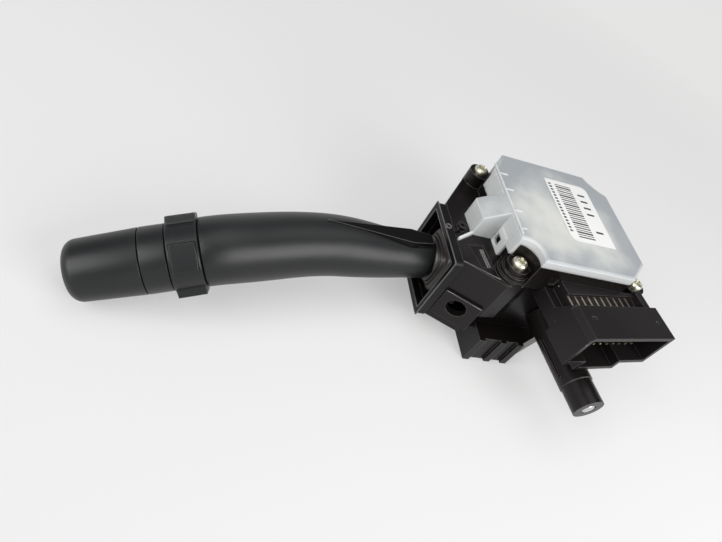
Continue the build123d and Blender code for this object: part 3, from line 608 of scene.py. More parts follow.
def loop_faces(rings: int, around: int, closed: bool = False) -> np.ndarray:
    """Quads between rings of points.

    Args:
        rings: Number of rings.
        around: Points in a ring; the last joins the first.
        closed: Whether the last ring joins the first.

    Returns:
        The quads, as rows of four indices.
    """
    last = rings if closed else rings - 1
    ring, step = np.meshgrid(np.arange(last), np.arange(around), indexing="ij")
    following = (ring + 1) % rings
    beside = (step + 1) % around
    near, far = ring * around, following * around
    return np.stack([near + step, near + beside, far + beside, far + step], -1).reshape(-1, 4)


def capped_tube(rings: np.ndarray) -> tuple[np.ndarray, list[np.ndarray]]:
    """Close a stack of rings at both ends with a fan to the middle of each end ring.

    Args:
        rings: Points, by ring, then around the ring, then x, y and z.

    Returns:
        All points and the blocks of faces.
    """
    count, around, _ = rings.shape
    points = np.concatenate([rings.reshape(-1, 3), rings[:1].mean(1), rings[-1:].mean(1)])
    step = np.arange(around)
    beside = (step + 1) % around
    first = np.stack([beside, step, np.full(around, count * around)], -1)
    base = (count - 1) * around
    last = np.stack([base + step, base + beside, np.full(around, count * around + 1)], -1)
    return points, [loop_faces(count, around), first, last]


def make_tube(name: str, rings: np.ndarray, material: bpy.types.Material) -> bpy.types.Object:
    """Make a piece from a stack of rings that is closed at both ends."""
    points, faces = capped_tube(rings)
    return make_piece(name, points, faces, material)


def make_group(name: str, parts: list[np.ndarray], material: bpy.types.Material) -> bpy.types.Object:
    """Make one piece from several stacks of rings, each closed at both ends."""
    all_points, all_faces, count = [], [], 0
    for rings in parts:
        points, faces = capped_tube(rings)
        all_points.append(points)
        all_faces += [block + count for block in faces]
        count += len(points)
    return make_piece(name, np.concatenate(all_points), all_faces, material)


def soften(piece: bpy.types.Object, width: float, segments: int) -> None:
    """Bevel a piece's edges by a width in millimetres."""
    bevel = piece.modifiers.new("soft_edges", "BEVEL")
    bevel.width = width * MM
    bevel.segments = segments


def angles(around: int) -> np.ndarray:
    """Spread angles evenly over a full turn."""
    return np.linspace(0, FULL_TURN, around, endpoint=False)


def hermite(
    share: np.ndarray, start: np.ndarray, end: np.ndarray, start_slope: np.ndarray, end_slope: np.ndarray
) -> np.ndarray:
    """Run a cubic from start to end whose slopes, over the whole run, are given."""
    return (
        (2 * share**3 - 3 * share**2 + 1) * start
        + (share**3 - 2 * share**2 + share) * start_slope
        + (3 * share**2 - 2 * share**3) * end
        + (share**3 - share**2) * end_slope
    )


def lathe(profile: np.ndarray, origin: Vector, axis: Vector, side: Vector, around: int) -> np.ndarray:
    """Turn a profile about an axis: each point is origin + s axis + r (cos a side + sin a other).

    Args:
        profile: Rows of distance along the axis and radius.
        origin: A point of the axis.
        axis: The axis, of unit length.
        side: The direction of angle zero, square to the axis.
        around: Points in each ring.

    Returns:
        Rings of points.
    """
    other = axis.cross(side)
    angle = angles(around)
    spoke = np.cos(angle)[:, None] * np.array(side) + np.sin(angle)[:, None] * np.array(other)
    along = np.array(origin) + profile[:, :1] * np.array(axis)
    return along[:, None, :] + profile[:, 1, None, None] * spoke[None]


def smooth_profile(corners: list[tuple[float, float]], radius: float, steps: int = 6) -> np.ndarray:
    """Round the corners of a profile by a curve that touches both sides.

    Args:
        corners: Points of the profile.
        radius: How far from each corner the rounding starts.
        steps: Points in each rounding.

    Returns:
        The rounded profile.
    """
    longest_share = 0.45  # of a side, so that two roundings never meet
    points = np.array(corners, float)
    rows = [points[:1]]
    share = np.linspace(0, 1, steps)[:, None]
    for before, here, after in zip(points[:-2], points[1:-1], points[2:]):
        sides = []
        for beside in (before, after):
            length = np.linalg.norm(beside - here)
            sides.append(min(radius, longest_share * length) * (beside - here) / length)
        rows.append(here + (1 - share) ** 2 * sides[0] + share**2 * sides[1])
    rows.append(points[-1:])
    return np.concatenate(rows)


def boxes(rows: np.ndarray) -> tuple[np.ndarray, list[np.ndarray]]:
    """Make closed boxes from their lowest and highest corners.

    Args:
        rows: One box in each row: x0, y0, z0, x1, y1, z1.

    Returns:
        All points and the quads.
    """
    base = [[0, 1, 2], [3, 1, 2], [3, 4, 2], [0, 4, 2]]
    pick = np.array([*base, *[[x, y, 5] for x, y, _ in base]])
    points = rows[:, pick].reshape(-1, 3)
    quads = np.array([[0, 3, 2, 1], [4, 5, 6, 7], [0, 1, 5, 4], [1, 2, 6, 5], [2, 3, 7, 6], [3, 0, 4, 7]])
    faces = (quads[None] + 8 * np.arange(len(rows))[:, None, None]).reshape(-1, 4)
    return points, [faces]


def spline_through(
    points: np.ndarray, start: np.ndarray, end: np.ndarray, count: int
) -> tuple[np.ndarray, np.ndarray]:
    """Carry a smooth cubic curve through points, with given directions at its ends.

    The slopes at the points solve the usual equations for equal curvature on
    both sides of each inner point, on chord lengths.

    Args:
        points: The points to pass.
        start: Unit direction at the first point.
        end: Unit direction at the last point.
        count: How many points the curve gets.

    Returns:
        Points of the curve, evenly spread by length, and unit tangents there.
    """
    chord = np.linalg.norm(np.diff(points, axis=0), axis=1)
    size = len(points)
    matrix = np.eye(size)
    right = np.zeros((size, 3))
    right[0], right[-1] = start, end
    moves = np.diff(points, axis=0)
    for i in range(1, size - 1):
        before, after = chord[i - 1], chord[i]
        matrix[i, i - 1 : i + 2] = 1 / before, 2 / before + 2 / after, 1 / after
        right[i] = 3 * moves[i - 1] / before**2 + 3 * moves[i] / after**2
    slope = np.linalg.solve(matrix, right)
    share = np.linspace(0, 1, 200)[:-1, None]
    spans = [
        hermite(share, points[i], points[i + 1], step * slope[i], step * slope[i + 1])
        for i, step in enumerate(chord)
    ]
    dense = np.concatenate([*spans, points[-1:]])
    length = np.concatenate([[0], np.cumsum(np.linalg.norm(np.diff(dense, axis=0), axis=1))])
    even = np.linspace(0, length[-1], count)
    path = np.stack([np.interp(even, length, dense[:, k]) for k in range(3)], -1)
    tangent = np.gradient(path, axis=0)
    tangent[0], tangent[-1] = start, end
    return path, tangent / np.linalg.norm(tangent, axis=1)[:, None]


def bar_reach(
    top: float, width: float, towards: np.ndarray, across: np.ndarray, sharpness: float
) -> np.ndarray:
    """Measure a bar's outline from the axis: the soft least of its top face and its side faces.

    Args:
        top: Height of the bar's top over the axis.
        width: Width of the bar.
        towards: Cosine of the angle from the bar's middle.
        across: Size of that angle's sine.
        sharpness: How closely the rounded corners keep to the faces.

    Returns:
        The distance at each angle.
    """
    least_towards, least_across = 0.05, 0.02  # keep both quotients finite
    to_top = top / np.maximum(towards, least_towards)
    to_side = width / 2 / np.maximum(across, least_across)
    return -np.logaddexp(-sharpness * to_top, -sharpness * to_side) / sharpness


# ---- the stalk ----------------------------------------------------------------------


@dataclass
class HeadFrame:
    """Axis of the stalk's head, from the knob seam outwards."""

    seam: Vector = field(default_factory=lambda: Vector((-133.35, -15.5, PIVOT_HEIGHT - 9.6)))
    axis: Vector = field(default_factory=lambda: Vector((-0.930, -0.120, -0.345)).normalized())
    pad: Vector = field(default_factory=lambda: Vector((0.0, -0.69, 0.724)))

    def side(self) -> Vector:
        """Direction of the ring's flat pad, square to the axis."""
        return (self.pad - self.axis * self.pad.dot(self.axis)).normalized()


@dataclass
class StalkArm:
    """The curved arm of the stalk, its collar and the ring, band and knob on its end."""

    head: HeadFrame
    root_x: float = -33.7
    points: tuple[Point, ...] = ((-52.0, -0.9, -0.5), (-72.0, -2.1, -0.7), (-101.0, -8.9, -2.0))
    stations: tuple[Pair, ...] = (
        (0.0, 8.2), (0.16, 9.3), (0.35, 10.8), (0.55, 11.4), (0.78, 11.7), (1.0, 11.3)
    )
    lip: tuple[Pair, ...] = ((0.15, 0.04), (0.3, 0.15), (0.4, 0.4))
    arm_rings: int = 150
    around: int = 128
    ring_start: float = -18.2
    ring_length: float = 9.8
    ring_radius: float = 11.7
    ring_edge: float = 0.55
    lug_height: float = 1.3
    lug_width: float = 10.5
    lug_gap: float = 0.3
    lug_slope: float = 0.4
    pad_width: float = 9.0
    pad_rise: float = 0.4
    pad_gap: float = 0.7
    pad_slope: float = 0.35
    band_radius: float = 10.9
    knob_radius: float = 10.8
    knob_tip_radius: float = 10.0
    knob_length: float = 22.6
    knob_nose: float = 4.0
    part_gap: float = 0.25
    bore: float = 6.05
    collar_corners: tuple[Pair, ...] = ((-27.0, 7.3), (-31.6, 7.3), (-32.9, 7.5), (-33.65, 7.6))
    collar_round: float = 0.5
    collar_around: int = 96
    band_round: float = 0.35
    band_depth: float = 1.2
    ring_around: int = 360
    ring_steps: int = 41
    lug_sharpness: float = 5.0
    pad_sharpness: float = 10.0

    def arm_piece(self, material: bpy.types.Material) -> bpy.types.Object:
        """Make the arm.

        Rings square to the curved axis, with a radius that follows the
        stations, and a small round at the far end.

        Args:
            material: Its finish.

        Returns:
            The arm.
        """
        end = self.head.seam + self.head.axis * (self.ring_start - self.part_gap)
        middle = [(x, y, PIVOT_HEIGHT + z) for x, y, z in self.points]
        knots = [(self.root_x, 0, PIVOT_HEIGHT), *middle, tuple(end)]
        ends = np.array([-1.0, 0, 0]), np.array(self.head.axis)
        path, tangent = spline_through(np.array(knots), *ends, self.arm_rings)
        share = np.linspace(0, 1, len(path))
        where, radii = np.array(self.stations).T
        slopes = np.gradient(radii, where)
        index = np.clip(np.searchsorted(where, share, side="right") - 1, 0, len(where) - 2)
        step = where[index + 1] - where[index]
        part = (share - where[index]) / step
        radius = hermite(part, radii[index], radii[index + 1], step * slopes[index], step * slopes[index + 1])
        across = np.cross(tangent, np.array(UP))
        across /= np.linalg.norm(across, axis=1)[:, None]
        other = np.cross(across, tangent)
        angle = angles(self.around)[None, :, None]
        spoke = np.cos(angle) * across[:, None] + np.sin(angle) * other[:, None]
        rings = path[:, None] + radius[:, None, None] * spoke

        def eased(i: int, way: int, lip: np.ndarray) -> np.ndarray:
            """Shrink the ring at one end of the arm over its lip."""
            middle = path[i] + way * (self.lip[-1][0] - lip[:, :1]) * tangent[i]
            return middle[:, None] + (radius[i] - lip[:, 1])[:, None, None] * spoke[i][None]

        lip = np.array(self.lip)
        rings = np.concatenate([eased(0, 1, lip[::-1]), rings[1:-1], eased(-1, -1, lip)])
        piece = make_tube("stalk_arm_skin", rings[::-1], material)
        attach(piece, "stalk")
        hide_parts("lever_arm")
        return piece

    def collar_piece(self, material: bpy.types.Material) -> bpy.types.Object:
        """Make the flared collar as a turned profile about the stalk's root axis."""
        profile = smooth_profile(list(self.collar_corners), self.collar_round)
        rings = lathe(profile, UP * PIVOT_HEIGHT, Vector((1, 0, 0)), UP, self.collar_around)
        piece = make_tube("root_collar_skin", rings[::-1], material)
        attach(piece, "stalk")
        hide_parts("lever_collar")
        return piece

    def turned(self, name: str, profile: np.ndarray, material: bpy.types.Material) -> bpy.types.Object:
        """Turn a profile about the head's axis into a closed piece."""
        rings = lathe(profile, self.head.seam, self.head.axis, self.head.side(), self.around)
        return make_tube(name, rings, material)

    def band_piece(self, material: bpy.types.Material) -> bpy.types.Object:
        """Make the fixed band between ring and knob as a turned profile with eased edges."""
        start = self.ring_start + self.ring_length + self.part_gap
        r = self.band_radius
        inner = r - self.band_depth
        corners = [(start, inner), (start, r), (-self.part_gap, r - 0.05), (-self.part_gap, inner)]
        piece = self.turned("head_band_skin", smooth_profile(corners, self.band_round), material)
        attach(piece, "stalk")
        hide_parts("spacer_band")
        return piece

    def knob_piece(self, material: bpy.types.Material) -> bpy.types.Object:
        """Make the end knob as a turned profile with a rounded nose and an eased seam."""
        nose, tip, r = self.knob_nose, self.knob_length, self.knob_radius
        rounded = [
            (tip - nose + nose * math.sin(a), self.knob_tip_radius - nose + nose * math.cos(a))
            for a in np.linspace(0, math.pi / 2, 14)
        ]
        seam = [(0.0, r - 1.0), (0.0, r - 0.3), (0.1, r - 0.08), (0.35, r)]
        profile = np.array([*seam, *rounded, (tip, 3.0), (tip, 0.8)])
        piece = self.turned("end_knob_skin", profile, material)
        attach(piece, "knob")
        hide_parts("end_knob")
        return piece

    def ring_piece(self, material: bpy.types.Material) -> bpy.types.Object:
        """Make the selector ring.

        At each angle the radius is the farthest of the round body, the two grip
        lugs and the flat pad, eased at the ends of the ring.

        Args:
            material: Its finish.

        Returns:
            The ring.
        """
        angle = angles(self.ring_around)
        cos, sin = np.cos(angle), np.sin(angle)
        along = np.linspace(0, 1, self.ring_steps) * self.ring_length
        edge = np.minimum(along, self.ring_length - along)
        fall = self.ring_edge - np.sqrt(self.ring_edge**2 - np.maximum(self.ring_edge - edge, 0) ** 2)
        base = self.ring_radius
        lug_top, pad_top = base + self.lug_height, base + self.pad_rise
        lug = bar_reach(lug_top, self.lug_width, np.abs(sin), np.abs(cos), self.lug_sharpness)
        pad = bar_reach(pad_top, self.pad_width, cos, np.abs(sin), self.pad_sharpness)
        pad = np.where(cos > 0.1, pad, 0)  # the pad is on one side only
        lug_span = np.clip((self.ring_length - self.lug_gap - along) / self.lug_slope, 0, 1)[:, None]
        pad_span = np.clip((edge - self.pad_gap) / self.pad_slope, 0, 1)[:, None]
        lugs = np.maximum(lug - base, 0) * lug_span
        flat = np.maximum(pad - base, 0) * pad_span
        radius = base + np.maximum(lugs, flat) - fall[:, None]
        side, axis, seam = self.head.side(), np.array(self.head.axis), np.array(self.head.seam)
        spoke = cos[:, None] * np.array(side) + sin[:, None] * np.array(self.head.axis.cross(side))
        outer = (seam + (self.ring_start + along)[:, None] * axis)[:, None] + radius[..., None] * spoke[None]
        ends = self.ring_start + np.array([self.ring_length, 0.0])
        inner = (seam + ends[:, None] * axis)[:, None] + self.bore * spoke[None]
        rings = np.concatenate([outer, inner])
        faces = [loop_faces(len(rings), len(angle), closed=True)]
        piece = make_piece("selector_ring_skin", rings.reshape(-1, 3), faces, material)
        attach(piece, "ring")
        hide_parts("selector_ring")
        return piece


@dataclass
class DustBoot:
    """Grained boot on the dust shield that fills the bezel's window round the collar."""

    half_width: float = 9.7
    half_height: float = 9.9
    rear: float = -23.0
    front: float = -29.9
    neck: float = -32.9
    neck_radius: float = 7.2
    round_edge: float = 1.3
    squareness: float = 7.0
    ridge_places: tuple[float, ...] = (0.28, 0.62)
    ridge_height: float = 0.55
    ridge_width: float = 0.09
    face_power: float = 1.7
    wall_rings: int = 8
    edge_rings: int = 10
    face_rings: int = 48
    around: int = 160

    def piece(self, material: bpy.types.Material) -> bpy.types.Object:
        """Make the boot.

        Each ring is a superellipse about the stalk's root axis. Along the boot
        the rings keep their size, turn over a quarter round at the front edge,
        and then shrink to the circle of the collar's neck while the exponent
        falls to two.

        Args:
            material: Its finish.

        Returns:
            The boot.
        """
        turn = np.linspace(0, math.pi / 2, self.edge_rings)[1:]
        wall_x = np.linspace(self.rear, self.front + self.round_edge, self.wall_rings)
        edge_x = self.front + self.round_edge - self.round_edge * np.sin(turn)
        face = np.linspace(0, 1, self.face_rings + 1)[1:]
        face_x = self.front + (self.neck - self.front) * face**self.face_power
        for place in self.ridge_places:
            face_x -= self.ridge_height * np.exp(-(((face - place) / self.ridge_width) ** 2))
        x = np.concatenate([wall_x, edge_x, face_x])
        straight = np.zeros(self.wall_rings)
        edge_cut = self.round_edge * (1 - np.cos(turn))
        cut = np.concatenate([straight, edge_cut, np.full(self.face_rings, self.round_edge)])
        fade = np.concatenate([straight, np.zeros(len(turn)), face])
        exponent = (self.squareness + (2.0 - self.squareness) * np.sqrt(fade))[:, None]
        wide, high = (
            ((half - cut) * (1 - fade) + self.neck_radius * fade)[:, None]
            for half in (self.half_width, self.half_height)
        )
        cos, sin = np.cos(angles(self.around))[None], np.sin(angles(self.around))[None]
        reach = (np.abs(cos / wide) ** exponent + np.abs(sin / high) ** exponent) ** (-1 / exponent)
        along = np.repeat(x[:, None], self.around, 1)
        rings = np.stack([along, reach * cos, PIVOT_HEIGHT + reach * sin], -1)
        piece = make_tube("dust_boot", rings[::-1], material)
        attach(piece, "stalk")
        return piece


# ---- the body -----------------------------------------------------------------------


@dataclass
class EdgeBeads:
    """Rounded beads along the moulded edges of nose, block and bezel, and the small pin ring."""

    radius: float = 0.25
    end_gap: float = 0.12
    sides: int = 12
    bezel_x: float = -32.38
    outer_y: float = 15.73
    outer_z: Pair = (9.42, 41.28)
    window_y: float = 13.82
    window_z: Pair = (11.78, 39.02)
    roof_edge: tuple[Point, Point] = ((-28.77, -13.76, 41.28), (-14.31, -19.70, 41.28))
    block_edge: tuple[Point, Point] = ((-27.56, -15.54, 26.28), (-14.03, -22.65, 26.28))
    ring_place: Point = (-31.1, 2.4, 41.3)
    ring_profile: tuple[Pair, ...] = ((0.0, 1.3), (0.5, 1.3), (0.6, 1.2), (0.6, 0.8), (0.5, 0.7), (0.06, 0.7))
    end_ease: float = 0.2

    def runs(self) -> list[tuple[Point, Point]]:
        """List the straight runs, each from one end to the other."""
        rims = []
        for y, (low, high) in ((self.outer_y, self.outer_z), (self.window_y, self.window_z)):
            corners = [(self.bezel_x, *rest) for rest in ((-y, low), (-y, high), (y, high), (y, low))]
            rims += list(zip(corners, corners[1:] + corners[:1]))
        return [*rims, self.roof_edge, self.block_edge]

    def piece(self, material: bpy.types.Material) -> bpy.types.Object:
        """Make every bead as a thin turned rod with eased ends, and the ring as a turned profile.

        Args:
            material: Its finish.

        Returns:
            The beads.
        """
        r, ease, gap = self.radius, self.end_ease, self.end_gap
        turned = []
        for start, end in self.runs():
            line = Vector(end) - Vector(start)
            length = line.length - gap
            profile = [(gap, 0.5 * r), (gap + ease, r), (length - ease, r), (length, 0.5 * r)]
            turned.append((profile, start, line.normalized(), self.sides))
        turned.append((self.ring_profile, self.ring_place, UP, 4 * self.sides))
        parts = [
            lathe(np.array(profile), Vector(origin), axis, axis.orthogonal().normalized(), around)
            for profile, origin, axis, around in turned
        ]
        piece = make_group("edge_beads", parts, material)
        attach(piece, "case")
        return piece


@dataclass
class HoodTongue:
    """Pale tapered tongue of the cover that lies along the roof rib, from the hood's corner. It takes the rib
    finish, whose colour, lighter than the cover's, is a painted highlight.
    """

    tip: Pair = (-28.7, -3.8)
    root: Pair = (-21.9, 0.52)
    base: float = 41.35
    tip_size: Pair = (0.44, 1.68)
    root_size: Pair = (0.5, 1.95)
    steps: int = 9

    def piece(self, material: bpy.types.Material) -> bpy.types.Object:
        """Make the tongue as a four sided loft from tip to root.

        Args:
            material: Its finish.

        Returns:
            The tongue.
        """
        along = np.array(self.root) - np.array(self.tip)
        across = np.array([-along[1], along[0]]) / np.hypot(*along)
        rings = []
        for share in np.linspace(0, 1, self.steps):
            half, height = (1 - share) * np.array(self.tip_size) + share * np.array(self.root_size)
            middle = np.array(self.tip) + share * along
            corners = [(-half, 0.0), (half, 0.0), (half, height), (-half, height)]
            rings.append([(*(middle + across * side), self.base + up) for side, up in corners])
        piece = make_tube("hood_tongue", np.array(rings), material)
        soften(piece, 0.15, 2)
        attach(piece, "case")
        return piece


@dataclass
class RoofTexture:
    """Knurled pad in the shallow recess on the roof of the nose."""

    rear: Pair = (-18.6, -5.4)
    along: Pair = (1.1, -8.9)
    width: float = 1.9
    floor: float = 40.60
    thickness: float = 0.05
    pitch: float = 0.95
    depth: float = 0.5
    foot: float = 0.1
    rows: int = 96
    columns: int = 44

    def piece(self, material: bpy.types.Material) -> bpy.types.Object:
        """Make the pad.

        The top is a grid whose height is the product of two sines at right
        angles, so it stands in rows of small lumps. The rim drops to the floor.

        Args:
            material: Its finish.

        Returns:
            The pad.
        """
        length = math.hypot(*self.along)
        direction = np.array(self.along) / length
        across = np.array([-direction[1], direction[0]])
        steps = np.linspace(0, length, self.rows), np.linspace(-1, 1, self.columns) * self.width / 2
        s, t = np.meshgrid(*steps, indexing="ij")
        lumps = np.abs(np.sin(math.pi * s / self.pitch) * np.sin(math.pi * t / self.pitch))
        height = self.floor + self.thickness + self.depth * lumps
        height[0], height[-1], height[:, 0], height[:, -1] = (self.floor,) * 4
        plane = np.array(self.rear) + s[..., None] * direction + t[..., None] * across
        top = np.concatenate([plane, height[..., None]], -1)
        bottom = top.copy()
        bottom[..., 2] = self.floor - self.foot
        count = self.rows * self.columns
        grid = np.arange(count).reshape(self.rows, self.columns)
        quads = np.stack([grid[:-1, :-1], grid[1:, :-1], grid[1:, 1:], grid[:-1, 1:]], -1).reshape(-1, 4)
        rim = np.concatenate([grid[0, :-1], grid[:-1, -1], grid[-1, :0:-1], grid[:0:-1, 0]])
        after = np.roll(rim, -1)
        side = np.stack([rim, after, after + count, rim + count], -1)
        points = np.concatenate([top.reshape(-1, 3), bottom.reshape(-1, 3)])
        piece = make_piece("roof_texture", points, [quads, quads[:, ::-1] + count, side], material)
        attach(piece, "case")
        return piece


@dataclass
class CoverScrews:
    """Pan head screws with cross recesses."""

    places: tuple[Pair, ...] = ((-11.2, 33.5), (-9.2, -15.7), (47.3, -14.5), (46.4, 33.5))
    seat: float = 46.8
    radius: float = 3.0
    height: float = 2.2
    shank: float = 1.4
    length: float = 6.4
    turns: tuple[float, ...] = (20.0, 65.0, 40.0, 5.0)
    rim_share: float = 0.35
    recess_depth: float = 1.25
    slot_half: float = 0.5
    slot_slope: float = 0.22
    slot_reach: float = 1.75
    slot_end_slope: float = 0.5
    point: float = 0.5
    point_length: float = 0.8
    centre_share: float = 0.02
    dome_rings: int = 40
    around: int = 96

    def slot(self, along: np.ndarray, across: np.ndarray) -> np.ndarray:
        """Depth of one tapered slot, from zero outside it to one on its floor."""
        side = np.clip((self.slot_half - np.abs(across)) / self.slot_slope, 0, 1)
        return side * np.clip((self.slot_reach - np.abs(along)) / self.slot_end_slope, 0, 1)

    def piece(self, material: bpy.types.Material) -> bpy.types.Object:
        """Make all screws as one piece.

        The head's height falls as a fourth power of the radius, and the recess
        is the deeper of two tapered slots at right angles.

        Args:
            material: Its finish.

        Returns:
            The screws.
        """
        angle = angles(self.around)
        cos, sin = np.cos(angle), np.sin(angle)
        r = self.radius * np.linspace(1, self.centre_share, self.dome_rings)[:, None]
        crown = np.sqrt(np.clip(1 - (r / self.radius) ** 4, 0, 1))
        dome = self.height * (self.rim_share + (1 - self.rim_share) * crown)
        skirt_r = np.array([[self.point], [self.shank], [self.shank], [self.radius - 0.05]])
        skirt_z = np.array([[-self.length], [-self.length + self.point_length], [0.0], [0.0]])
        parts = []
        for (x, y), turn in zip(self.places, self.turns):
            local = angle - math.radians(turn)
            u, v = r * np.cos(local), r * np.sin(local)
            z = dome - self.recess_depth * np.maximum(self.slot(u, v), self.slot(v, u))
            top = np.stack([x + r * cos, y + r * sin, self.seat + z], -1)
            low_z = np.repeat(self.seat + skirt_z, self.around, 1)
            low = np.stack([x + skirt_r * cos, y + skirt_r * sin, low_z], -1)
            parts.append(np.concatenate([low, top]))
        piece = make_group("pan_head_screws", parts, material)
        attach(piece, "case")
        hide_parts("cover_screws")
        return piece


@dataclass
class CoverShell:
    """The rear cover with its top plate set down, so that the ribs stand proud within its height."""

    ease_from: float = 55.4
    full_height: float = 56.4

    def piece(self, node: bpy.types.Object, material: bpy.types.Material) -> bpy.types.Object:
        """Weld a copy of the cover and lower its top.

        Heights above ease_from shrink in one proportion, so that the full
        height comes down to the height of the top plate.

        Args:
            node: The model's cover.
            material: Its finish.

        Returns:
            The cover.
        """
        source = node.data
        flat = np.empty(len(source.vertices) * 3)
        source.vertices.foreach_get("co", flat)
        picks = np.empty(len(source.loops), dtype=np.int64)
        source.loops.foreach_get("vertex_index", picks)
        points, index = np.unique(np.round(flat.reshape(-1, 3) / MM, 4), axis=0, return_inverse=True)
        triangles = index.reshape(-1)[picks].reshape(-1, 3)
        a, b, c = triangles.T
        triangles = triangles[(a != b) & (b != c) & (c != a)]
        above = np.maximum(points[:, 2] - self.ease_from, 0.0)
        points[:, 2] -= above * (self.full_height - COVER_TOP) / (self.full_height - self.ease_from)
        piece = make_piece("rear_cover_skin", points, [triangles], material)
        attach(piece, "case")
        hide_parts("rear_cover")
        return piece


@dataclass
class CoverLabel:
    """Paper sticker on the rear cover, with a plain pattern of bars."""

    left: float = 12.0
    right: float = 33.7
    low: float = -6.7
    high: float = 27.7
    base: float = COVER_TOP
    thickness: float = 0.12
    round_corner: float = 3.0
    print_height: float = 0.02
    bar_xs: Pair = (16.4, 24.4)
    bar_widths: tuple[float, ...] = (0.42, 0.84, 0.42, 0.62)
    bar_run: tuple[float, float, int] = (2.8, 1.26, 24)  # margin, pitch and count
    tick_xs: Pair = (13.1, 14.4)
    tick_widths: tuple[float, ...] = (0.9,)
    tick_run: tuple[float, float, int] = (3.0, 1.75, 16)
    dash_xs: Pair = (27.0, 30.6)
    dash_width: float = 1.0
    dash_ys: tuple[float, ...] = (21.5, 17.8, 14.1, 10.4, 0.6)

    def sheet_piece(self, material: bpy.types.Material) -> bpy.types.Object:
        """Make the sticker as a thin closed sheet with two rounded corners."""
        bend = np.linspace(0, math.pi / 2, 10)[::-1]
        r = self.round_corner
        arc = r * np.stack([np.sin(bend), np.cos(bend)], -1)
        upper = np.array([self.right - r, self.high - r]) + arc
        lower = np.array([self.left + r, self.low + r]) - arc
        outline = np.concatenate([[[self.right, self.low]], upper, [[self.left, self.high]], lower])
        heights = (self.base, self.base + self.thickness)
        rings = np.stack([np.column_stack([outline, np.full(len(outline), z)]) for z in heights])
        piece = make_tube("cover_label_sheet", rings, material)
        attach(piece, "case")
        return piece

    def print_piece(self, material: bpy.types.Material) -> bpy.types.Object:
        """Make the printed pattern: a run of even bars, a row of ticks and five plain dashes."""
        low = self.base + self.thickness
        marks = []
        for (margin, pitch, count), xs, widths in (
            (self.bar_run, self.bar_xs, self.bar_widths),
            (self.tick_run, self.tick_xs, self.tick_widths),
        ):
            marks += [(xs, self.high - margin - pitch * i, widths[i % len(widths)]) for i in range(count)]
        marks += [(self.dash_xs, y, self.dash_width) for y in self.dash_ys]
        rows = [(x0, y - w / 2, low, x1, y + w / 2, low + self.print_height) for (x0, x1), y, w in marks]
        points, faces = boxes(np.array(rows))
        piece = make_piece("cover_label_bars", points, faces, material)
        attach(piece, "case")
        return piece


@dataclass
class CoverRibs:
    """Low moulded ribs on the rear cover: a line inside its stalk side edge and stubs off it."""

    edge_x: float = -12.4
    line_x: float = -11.6
    line_ys: Pair = (-9.6, 28.2)
    top: float = COVER_TOP
    stubs: tuple[Pair, ...] = ((22.8, 4.2), (13.8, 4.0), (2.6, 4.2), (-6.6, 2.9))
    wall_ys: tuple[float, ...] = (22.8, 13.8, -6.6)
    wall_low: float = 47.6
    rib_width: float = 0.9
    proud: float = 0.33
    sunk: float = 0.3
    stub_drop: float = 0.05
    wall_drop: float = 1.0

    def piece(self, material: bpy.types.Material) -> bpy.types.Object:
        """Make the line, its stubs and the ribs that run down the stalk side wall.

        Args:
            material: Its finish.

        Returns:
            The ribs.
        """
        half = self.rib_width / 2
        low, high = self.top - self.sunk, self.top + self.proud
        rows = [(self.line_x - half, self.line_ys[0], low, self.line_x + half, self.line_ys[1], high)]
        for y, reach in self.stubs:
            rows.append((self.line_x, y - half, low, self.line_x + reach, y + half, high - self.stub_drop))
        outer, inner, wall_top = self.edge_x - self.proud, self.edge_x + self.sunk, self.top - self.wall_drop
        rows += [(outer, y - half, self.wall_low, inner, y + half, wall_top) for y in self.wall_ys]
        points, faces = boxes(np.array(rows))
        piece = make_piece("cover_ribs", points, faces, material)
        soften(piece, 0.2, 3)
        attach(piece, "case")
        return piece


# ---- finishes and the frame -----------------------------------------------------------


